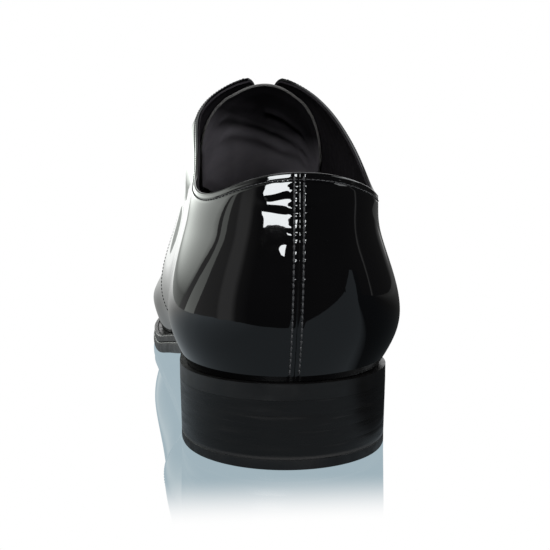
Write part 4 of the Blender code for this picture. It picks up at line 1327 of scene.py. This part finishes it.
def lace_bar(number, side):
    """A bar from one eyelet to the other: places on the last, how far off it, and that it isn't hidden."""
    station, start = eyelet_place(number, side)
    _, end = eyelet_place(number, -side)
    width = abs(last_point(station, end)[0] - last_point(station, start)[0])
    top = facing_offset(station) + GAP + LACE_RADIUS
    bend = [(0.0, -LACE_DIP)]
    for turned in np.linspace(0.0, math.pi / 2, ROUND_STEPS):
        bend.append((LACE_BEND * (1 - math.cos(turned)), top - LACE_BEND * (1 - math.sin(turned))))
    across = [(x / width, lift) for x, lift in bend]
    across += [(share, top) for share in np.linspace(*LACE_STRAIGHT, ROUND_STEPS)]
    across += [(1 - x / width, lift) for x, lift in reversed(bend)]
    return [(station, start + (end - start) * share, lift, False) for share, lift in across]


def lace_run(number, side, goal, bow):
    """A hidden run under the facing, from one eyelet to another on the same side."""
    run = []
    for share in np.linspace(0.0, 1.0, LACE_RUN_STEPS)[1:-1]:
        station = FIRST_EYELET + EYELET_PITCH * (number + (goal - number) * share)
        aside = EYELET_INSET + LACE_BOW * bow * math.sin(share * math.pi)
        around = side * (1 - share_from_crown(station, half_gap(station) + aside, side))
        run.append((station, float(around), -LACE_UNDER, True))
    return run


def waxed_cotton():
    """A fine braid under a dull shine."""
    finish = new_finish("waxed_lace", Roughness=0.42, Coat_Weight=0.15, Coat_Roughness=0.3)
    tree = finish.node_tree
    place = node(tree, "ShaderNodeUVMap", {"uv_map": "braid"}).outputs["UV"]
    strands = []
    for lean in (-BRAID_LEAN, BRAID_LEAN):
        turned = node(tree, "ShaderNodeMapping", Vector=place, Rotation=(0.0, 0.0, lean)).outputs["Vector"]
        wave = node(tree, "ShaderNodeTexWave", {"wave_type": "BANDS"}, Vector=turned, Scale=BRAID_SCALE,
                    Distortion=0.0)
        strands.append(wave.outputs["Fac"])
    braid = math_on(tree, "MAXIMUM", *strands)
    drive(finish, mixed_colour(finish, braid, *LACE_COLOURS), "Base Color")
    relief(finish, (braid, BRAID_HEIGHT))
    return finish


stops = []
for number, side, goal, bow in LACE_ROUTE:
    stops += lace_bar(number, side)
    stops += lace_run(number, -side, goal, bow)
places = np.array([last_point(s, a) + lift * last_normal(s, a) for s, a, lift, _ in stops])
pressed = np.array([1.0 if hidden else 0.0 for *_, hidden in stops])
reach = np.concatenate([[0.0], np.cumsum(np.linalg.norm(np.diff(places, axis=0), axis=-1))])
samples = np.arange(0.0, reach[-1], LACE_STEP)
path = curve_through(reach, places)(samples)
flat = smooth_step(np.interp(samples, reach, pressed))
tangent = np.gradient(path, axis=0)
tangent = tangent / np.linalg.norm(tangent, axis=-1, keepdims=True)
sideways = np.zeros_like(path)
sideways[0] = np.cross(tangent[0], [1.0, 0.0, 0.0])
for n in range(len(path)):
    carried = sideways[max(n - 1, 0)]
    carried = carried - (carried @ tangent[n]) * tangent[n]
    sideways[n] = carried / np.linalg.norm(carried)
other = np.cross(tangent, sideways)
angles = np.linspace(0.0, 2 * math.pi, LACE_SIDES, endpoint=False)
thin = LACE_RADIUS + (LACE_FLAT[0] - LACE_RADIUS) * flat
broad = LACE_RADIUS + (LACE_FLAT[1] - LACE_RADIUS) * flat
rings = (path[:, None] + (thin[:, None] * np.cos(angles))[..., None] * sideways[:, None]
         + (broad[:, None] * np.sin(angles))[..., None] * other[:, None])
number = np.arange(rings.shape[0] * LACE_SIDES).reshape(-1, LACE_SIDES)
following = np.roll(number, -1, axis=1)
faces = np.stack([number[:-1], following[:-1], following[1:], number[1:]], -1).reshape(-1, 4).tolist()
faces.append(number[0][::-1].tolist())
faces.append(number[-1].tolist())
lace = piece_from("lace", rings.reshape(-1, 3), faces, [waxed_cotton()])
braid_map = lace.data.uv_layers.new(name="braid")
for polygon in lace.data.polygons:
    for corner in polygon.loop_indices:
        vertex = lace.data.loops[corner].vertex_index
        braid_map.data[corner].uv = (vertex // LACE_SIDES * LACE_STEP, vertex % LACE_SIDES * BRAID_WIDTH)
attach(lace, "root")
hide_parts(*[f"lace_bar_{number + 1}" for number in range(EYELETS)])

# Floor
# A pale, polished table top. It mirrors the shoe, and round the shoe it glows in a painted cool grey that
# its mirror tops up to white, so that the shoe's mirror image shows cool grey and fades to white further
# off. It ends a hand's breadth behind the heel, in a bent edge that shows only in the shoe's own shine. A
# low card stands on it far out on the medial side.
FLOOR_CORNERS = (
    (5.0, -3.4), (5.0, 6.0), (-0.365, 6.0), (-0.365, 0.05), (-0.29, -0.07), (-0.21, -0.125), (-0.13, -0.15),
    (-0.06, -0.157), (0.0, -0.157),
)
CARD_CORNERS = (
    (1.006, -0.654, 0.0), (1.164, -0.29, 0.0), (1.164, -0.29, 0.21), (1.087, -0.468, 0.21),
    (1.006, -0.654, 0.08),
)
WHITE = (1.0, 1.0, 1.0)
BLACK = (0.0, 0.0, 0.0)
MIRROR_CENTRE = (-0.001, 0.111, 0.0)
MIRROR_HALF = (0.049, 0.152, 1.0)   # the floor mirrors within these half sizes
MIRROR_FADE = 0.038                 # and less and less over this distance beyond
PAINTED_MIRROR_GREY = (0.345, 0.44, 0.49)   # painted reflection: the grey the floor glows in round the shoe, which is what a black thing looks like in its mirror
FLOOR_GLOW = 0.27          # how bright the shoe's shine shows the floor behind the heel
FLOOR_GLOW_LEFT = (-0.08, -0.30, 0.30)   # from this x to that it gains so much
FLOOR_GLOW_FAR = (0.25, 0.9, 0.65)       # from this y to that it gains so much
FLOOR_TINT = (0.86, 1.0, 1.10)
FLOOR_TINT_FAR = (1.0, 1.02, 1.0)
# On the medial side the floor is dark in the shine, beyond a line that slants away from the heel
DARK_SLANT = (0.37, 1.0, 0.0)
DARK_BEYOND = (-0.016, 0.002)
DARK_FROM_X = (0.03, 0.05)
DARK_SHARE = 0.9


def stage_finish(name):
    """A material with an empty tree."""
    finish = bpy.data.materials.new(name)
    finish.use_nodes = True
    finish.node_tree.nodes.clear()
    return finish


def stage_piece(name, corners, outlines, finish):
    """A flat piece of the stage from its corners."""
    mesh = bpy.data.meshes.new(name)
    mesh.from_pydata(corners, [], outlines)
    mesh.materials.append(finish)
    made = bpy.data.objects.new(name, mesh)
    bpy.context.scene.collection.objects.link(made)
    return made


def eased(tree, source, from_low, from_high, low, high):
    """The source's values, moved from one range to another with soft ends."""
    made = node(tree, "ShaderNodeMapRange", {"interpolation_type": "SMOOTHSTEP"}, Value=source,
                From_Min=from_low, From_Max=from_high, To_Min=low, To_Max=high)
    return made.outputs["Result"]


def table_top():
    """White, glowing evenly so that it shows no lamp; round the shoe it glows a painted cool grey under its
    mirror, so that the shoe's mirror image shows grey.
    """
    finish = stage_finish("table_top")
    tree = finish.node_tree
    place = own_place(tree)
    x, y, _ = node(tree, "ShaderNodeSeparateXYZ", Vector=place).outputs
    apart = vector_on(tree, "SUBTRACT", place, MIRROR_CENTRE)["Vector"]
    apart = vector_on(tree, "ABSOLUTE", apart)["Vector"]
    beyond = vector_on(tree, "SUBTRACT", apart, MIRROR_HALF)["Vector"]
    beyond = vector_on(tree, "MAXIMUM", beyond)["Vector"]
    distance = vector_on(tree, "LENGTH", beyond)["Value"]
    share = eased(tree, distance, 0.0, MIRROR_FADE, 1.0, 0.0)
    rest = tuple(1 - part for part in PAINTED_MIRROR_GREY)
    # Painted reflection: round the shoe the floor glows in that grey, and its mirror adds the rest up to
    # white, so that the shoe's mirror image is left grey together with what the mirror really returns
    glow = node(tree, "ShaderNodeEmission", Color=mixed_colour(finish, share, WHITE, PAINTED_MIRROR_GREY))
    mirrored = mixed_colour(finish, share, BLACK, rest)
    mirror = node(tree, "ShaderNodeBsdfGlossy", Roughness=0.0, Color=mirrored)
    seen = in_order(tree, "ShaderNodeAddShader", glow.outputs[0], mirror.outputs[0])[0]
    left = ranged(finish, x, *FLOOR_GLOW_LEFT[:2], FLOOR_GLOW, FLOOR_GLOW + FLOOR_GLOW_LEFT[2])
    distant = ranged(finish, y, *FLOOR_GLOW_FAR[:2], 0.0, FLOOR_GLOW_FAR[2])
    past_line = ranged(finish, slant_on(tree, DARK_SLANT), *DARK_BEYOND, 0.0, 1.0)
    beside = ranged(finish, x, *DARK_FROM_X, 0.0, DARK_SHARE)
    kept = math_on(tree, "SUBTRACT", 1.0, math_on(tree, "MULTIPLY", past_line, beside))
    strength = math_on(tree, "MULTIPLY", math_on(tree, "ADD", left, distant), kept)
    far_off = ranged(finish, y, 0.0, FLOOR_GLOW_FAR[0], 0.0, 1.0)
    tint = mixed_colour(finish, far_off, FLOOR_TINT, FLOOR_TINT_FAR)
    in_shine = node(tree, "ShaderNodeEmission", Color=tint, Strength=strength)
    ray = node(tree, "ShaderNodeLightPath").outputs
    either = in_order(tree, "ShaderNodeMixShader", ray["Is Camera Ray"], in_shine.outputs[0], seen)[0]
    node(tree, "ShaderNodeOutputMaterial", Surface=either)
    return finish


corners = [(x, y, 0.0) for x, y in FLOOR_CORNERS] + list(CARD_CORNERS)
first_of_card = len(FLOOR_CORNERS)
outlines = [list(range(first_of_card)), list(range(first_of_card, len(corners)))]
floor = stage_piece("table_top", corners, outlines, table_top())
floor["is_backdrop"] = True

# Soft boxes
# One above, and a bright one high behind the camera's left shoulder. A fill from the right and one from that
# shoulder light what is matte and leave no spot in the shine, and a long box shows in the medial side.
# Columns: name, place, the point it faces, width, height, radiance, whether it shows in the shine, and on
# what is matte
SOFT_BOXES = (
    ("overhead_box", (-0.1, 0.15, 1.5), (0.0, 0.1, 0.0), 1.4, 1.2, 1.0, True, True),
    ("shoulder_box", (-0.42, -1.02, 0.66), (0.0, -0.03, 0.08), 0.66, 0.30, 20.0, True, False),
    ("shoulder_fill", (-0.42, -1.02, 0.66), (0.0, -0.03, 0.08), 0.66, 0.30, 20.0, False, True),
    ("fill_box", (0.6, -1.0, 0.75), (0.0, 0.05, 0.09), 0.8, 0.8, 10.0, False, True),
    ("side_box", (0.9, 0.28, 0.78), (0.0, 0.12, 0.07), 1.5, 0.36, 2.2, True, False),
)
BOX_TINT = (0.95, 0.98, 1.0)
# The shoulder box is flagged: only what lies as near to it as the back of the heel mirrors it brightly
FLAG_POINT = (-0.003, -0.038, 0.075)
FLAG_REACH = (0.028, 0.045)         # from this much further off to that its image darkens
FLAG_SHARE = 0.03                   # to this share


def flag(light):
    light.use_nodes = True
    tree = light.node_tree
    place = node(tree, "ShaderNodeNewGeometry").outputs["Position"]
    nearest = vector_on(tree, "DISTANCE", place, FLAG_POINT)["Value"]
    ray = node(tree, "ShaderNodeLightPath").outputs
    further = math_on(tree, "SUBTRACT", ray["Ray Length"], nearest)
    shown = ranged(light, further, *FLAG_REACH, 1.0, FLAG_SHARE)
    put(tree, tree.nodes["Emission"].inputs["Strength"], shown)


for name, place, target, width, height, radiance, shines, spreads in SOFT_BOXES:
    light = bpy.data.lights.new(name, "AREA")
    light.color = BOX_TINT
    light.shape = "RECTANGLE"
    light.size = width
    light.size_y = height
    light.energy = radiance * math.pi * width * height
    box = bpy.data.objects.new(name, light)
    box.location = place
    box.rotation_euler = (Vector(target) - Vector(place)).to_track_quat("-Z", "Y").to_euler()
    box.visible_camera = False
    box.visible_glossy = shines
    box.visible_diffuse = spreads
    bpy.context.scene.collection.objects.link(box)
flag(bpy.data.lights["shoulder_box"])

# Lit panel
# A large panel on the left, brighter upwards, with a narrow strip beside its slanting edge towards the
# camera. Both show only in the shoe's shine, and not in the floor's mirror.
PANEL_X = -0.36
# Columns: y and z of the corners
PANEL_CORNERS = ((0.285, 0.0), (3.0, 0.0), (3.0, 1.0), (-0.465, 1.0), (-0.465, 0.5))
STRIP_CORNERS = ((0.074, 0.0), (0.194, 0.0), (-0.07, 0.235), (-0.08, 0.235))
PANEL_SLANT = (0.0, 1.0, 1.5)
PANEL_EDGE = 0.2835        # across this slant the strip lies before it and the panel beyond
PANEL_GLOW = (0.45, 2.8)
PANEL_GLOW_AT = (0.05, 0.172)
PANEL_TOP = (0.2, 0.34, 0.12)       # from this height to that it darkens again, to this share
PANEL_FADE = (0.285, 0.32, 0.6)     # from this far to that across the slant it brightens, from this share
STRIP_GLOW = 1.2
PANEL_TINT = (0.95, 1.0, 0.95, 1.0)
SECOND_SHARE = 0.12        # how bright it is, and the room, in what the floor mirrors of the shoe's shine
PANEL_DIMS_AT = (1.0, 2.0)  # ray depths between which it falls to that


def lit_panel():
    finish = stage_finish("lit_panel")
    tree = finish.node_tree
    height = node(tree, "ShaderNodeSeparateXYZ", Vector=own_place(tree)).outputs["Z"]
    slanted = slant_on(tree, PANEL_SLANT)
    upwards = ranged(finish, height, *PANEL_GLOW_AT, *PANEL_GLOW)
    upper = ranged(finish, height, *PANEL_TOP[:2], 1.0, PANEL_TOP[2])
    forwards = ranged(finish, slanted, *PANEL_FADE[:2], PANEL_FADE[2], 1.0)
    shaded = math_on(tree, "MULTIPLY", math_on(tree, "MULTIPLY", upwards, upper), forwards)
    on_strip = math_on(tree, "LESS_THAN", slanted, PANEL_EDGE)
    bright = node(tree, "ShaderNodeMix", Factor=on_strip, A=shaded, B=STRIP_GLOW).outputs["Result"]
    ray = node(tree, "ShaderNodeLightPath").outputs
    dimmed = ranged(finish, ray["Ray Depth"], *PANEL_DIMS_AT, 1.0, SECOND_SHARE)
    strength = math_on(tree, "MULTIPLY", bright, dimmed)
    glow = node(tree, "ShaderNodeEmission", Color=PANEL_TINT, Strength=strength)
    clear = node(tree, "ShaderNodeBsdfTransparent")
    mirrored = ray["Is Singular Ray"]
    either = in_order(tree, "ShaderNodeMixShader", mirrored, glow.outputs[0], clear.outputs[0])[0]
    node(tree, "ShaderNodeOutputMaterial", Surface=either)
    return finish


corners = [(PANEL_X, y, z) for y, z in PANEL_CORNERS + STRIP_CORNERS]
panel = stage_piece("lit_panel", corners, [(0, 1, 2, 3, 4), (5, 6, 7, 8)], lit_panel())
panel.visible_camera = False
panel.visible_diffuse = False
panel.visible_shadow = False
panel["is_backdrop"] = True

# Room
# The studio round the shoe, which shows in its shine: a white backdrop beyond the toe, and dark walls behind
# and on the right.
# Columns: direction in degrees from +Y towards -X, how bright the room is there
ROOM_STOPS = (
    (-180, 0.025), (-112, 0.03), (-98, 0.035), (-90, 0.035), (-88.5, 0.4), (-87, 0.035), (-42, 0.02),
    (-31, 0.12), (-20, 0.8), (0, 1.1), (22, 1.1), (30, 0.3), (104, 0.24), (108, 0.46), (119, 0.46),
    (126, 0.08), (139, 0.025), (180, 0.025),
)
ROOM_BRIGHTEST = 1.5
ROOM_HIGH = (0.35, 0.6)    # from this slope to that the room darkens upwards
ROOM_HIGH_SHARE = 0.25     # how bright it is above that
ROOM_ON_MATTE = 0.06       # how much of it lights what doesn't shine
ROOM_DIMS_AT = (2.0, 3.0)  # as the panel's, but a world counts one more ray than a surface does
FULL_TURN = 360


def studio_room():
    """The room's light by direction. The camera itself, and the floor's mirror, see plain white."""
    world = bpy.data.worlds.new("studio")
    world.use_nodes = True
    tree = world.node_tree
    tree.nodes.clear()
    direction = node(tree, "ShaderNodeTexCoord").outputs["Generated"]
    x, y, z = node(tree, "ShaderNodeSeparateXYZ", Vector=direction).outputs
    turned = math_on(tree, "ARCTAN2", math_on(tree, "MULTIPLY", x, -1.0), y)
    ramp = node(tree, "ShaderNodeValToRGB", Fac=ranged(world, turned, -math.pi, math.pi, 0.0, 1.0))
    stops = ramp.color_ramp.elements
    while len(stops) < len(ROOM_STOPS):
        stops.new(0.5)
    for stop, (degrees, bright) in zip(stops, ROOM_STOPS):
        stop.position = (degrees + FULL_TURN / 2) / FULL_TURN
        stop.color = (*[bright / ROOM_BRIGHTEST] * 3, 1.0)
    fall = eased(tree, z, *ROOM_HIGH, ROOM_BRIGHTEST, ROOM_BRIGHTEST * ROOM_HIGH_SHARE)
    ray = node(tree, "ShaderNodeLightPath").outputs
    dimmed = ranged(world, ray["Ray Depth"], *ROOM_DIMS_AT, 1.0, SECOND_SHARE)
    on_matte = ranged(world, ray["Is Diffuse Ray"], 0.0, 1.0, 1.0, ROOM_ON_MATTE)
    strength = math_on(tree, "MULTIPLY", math_on(tree, "MULTIPLY", fall, dimmed), on_matte)
    room = node(tree, "ShaderNodeBackground", Color=ramp.outputs["Color"], Strength=strength)
    white = node(tree, "ShaderNodeBackground", Color=(*WHITE, 1.0), Strength=1.0)
    plain = math_on(tree, "MAXIMUM", ray["Is Camera Ray"], ray["Is Singular Ray"])
    either = in_order(tree, "ShaderNodeMixShader", plain, room.outputs[0], white.outputs[0])[0]
    node(tree, "ShaderNodeOutputWorld", Surface=either)
    return world


bpy.context.scene.world = studio_room()
bpy.context.scene.view_settings.view_transform = "Standard"

# Camera
# It stands where the photograph was taken from, behind the shoe and a little above it, and is turned and
# zoomed to frame the one shoe.
CAMERA_PLACE = (-0.0299, -0.311, 0.0914)
CAMERA_YAW = 0.088         # to the right
CAMERA_PITCH = 0.118       # down
CAMERA_NEAR = 0.01
IMAGE_SIZE = 550
FOCAL_PIXELS = 950.0
SENSOR = 36.0
lens = bpy.data.cameras.new("camera")
lens.sensor_width = SENSOR
lens.lens = FOCAL_PIXELS / IMAGE_SIZE * SENSOR
lens.clip_start = CAMERA_NEAR
camera = bpy.data.objects.new("camera", lens)
camera.location = CAMERA_PLACE
camera.rotation_euler = (math.pi / 2 - CAMERA_PITCH, 0.0, -CAMERA_YAW)
bpy.context.scene.collection.objects.link(camera)
bpy.context.scene.camera = camera

# Size of the dressed shoe
low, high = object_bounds()
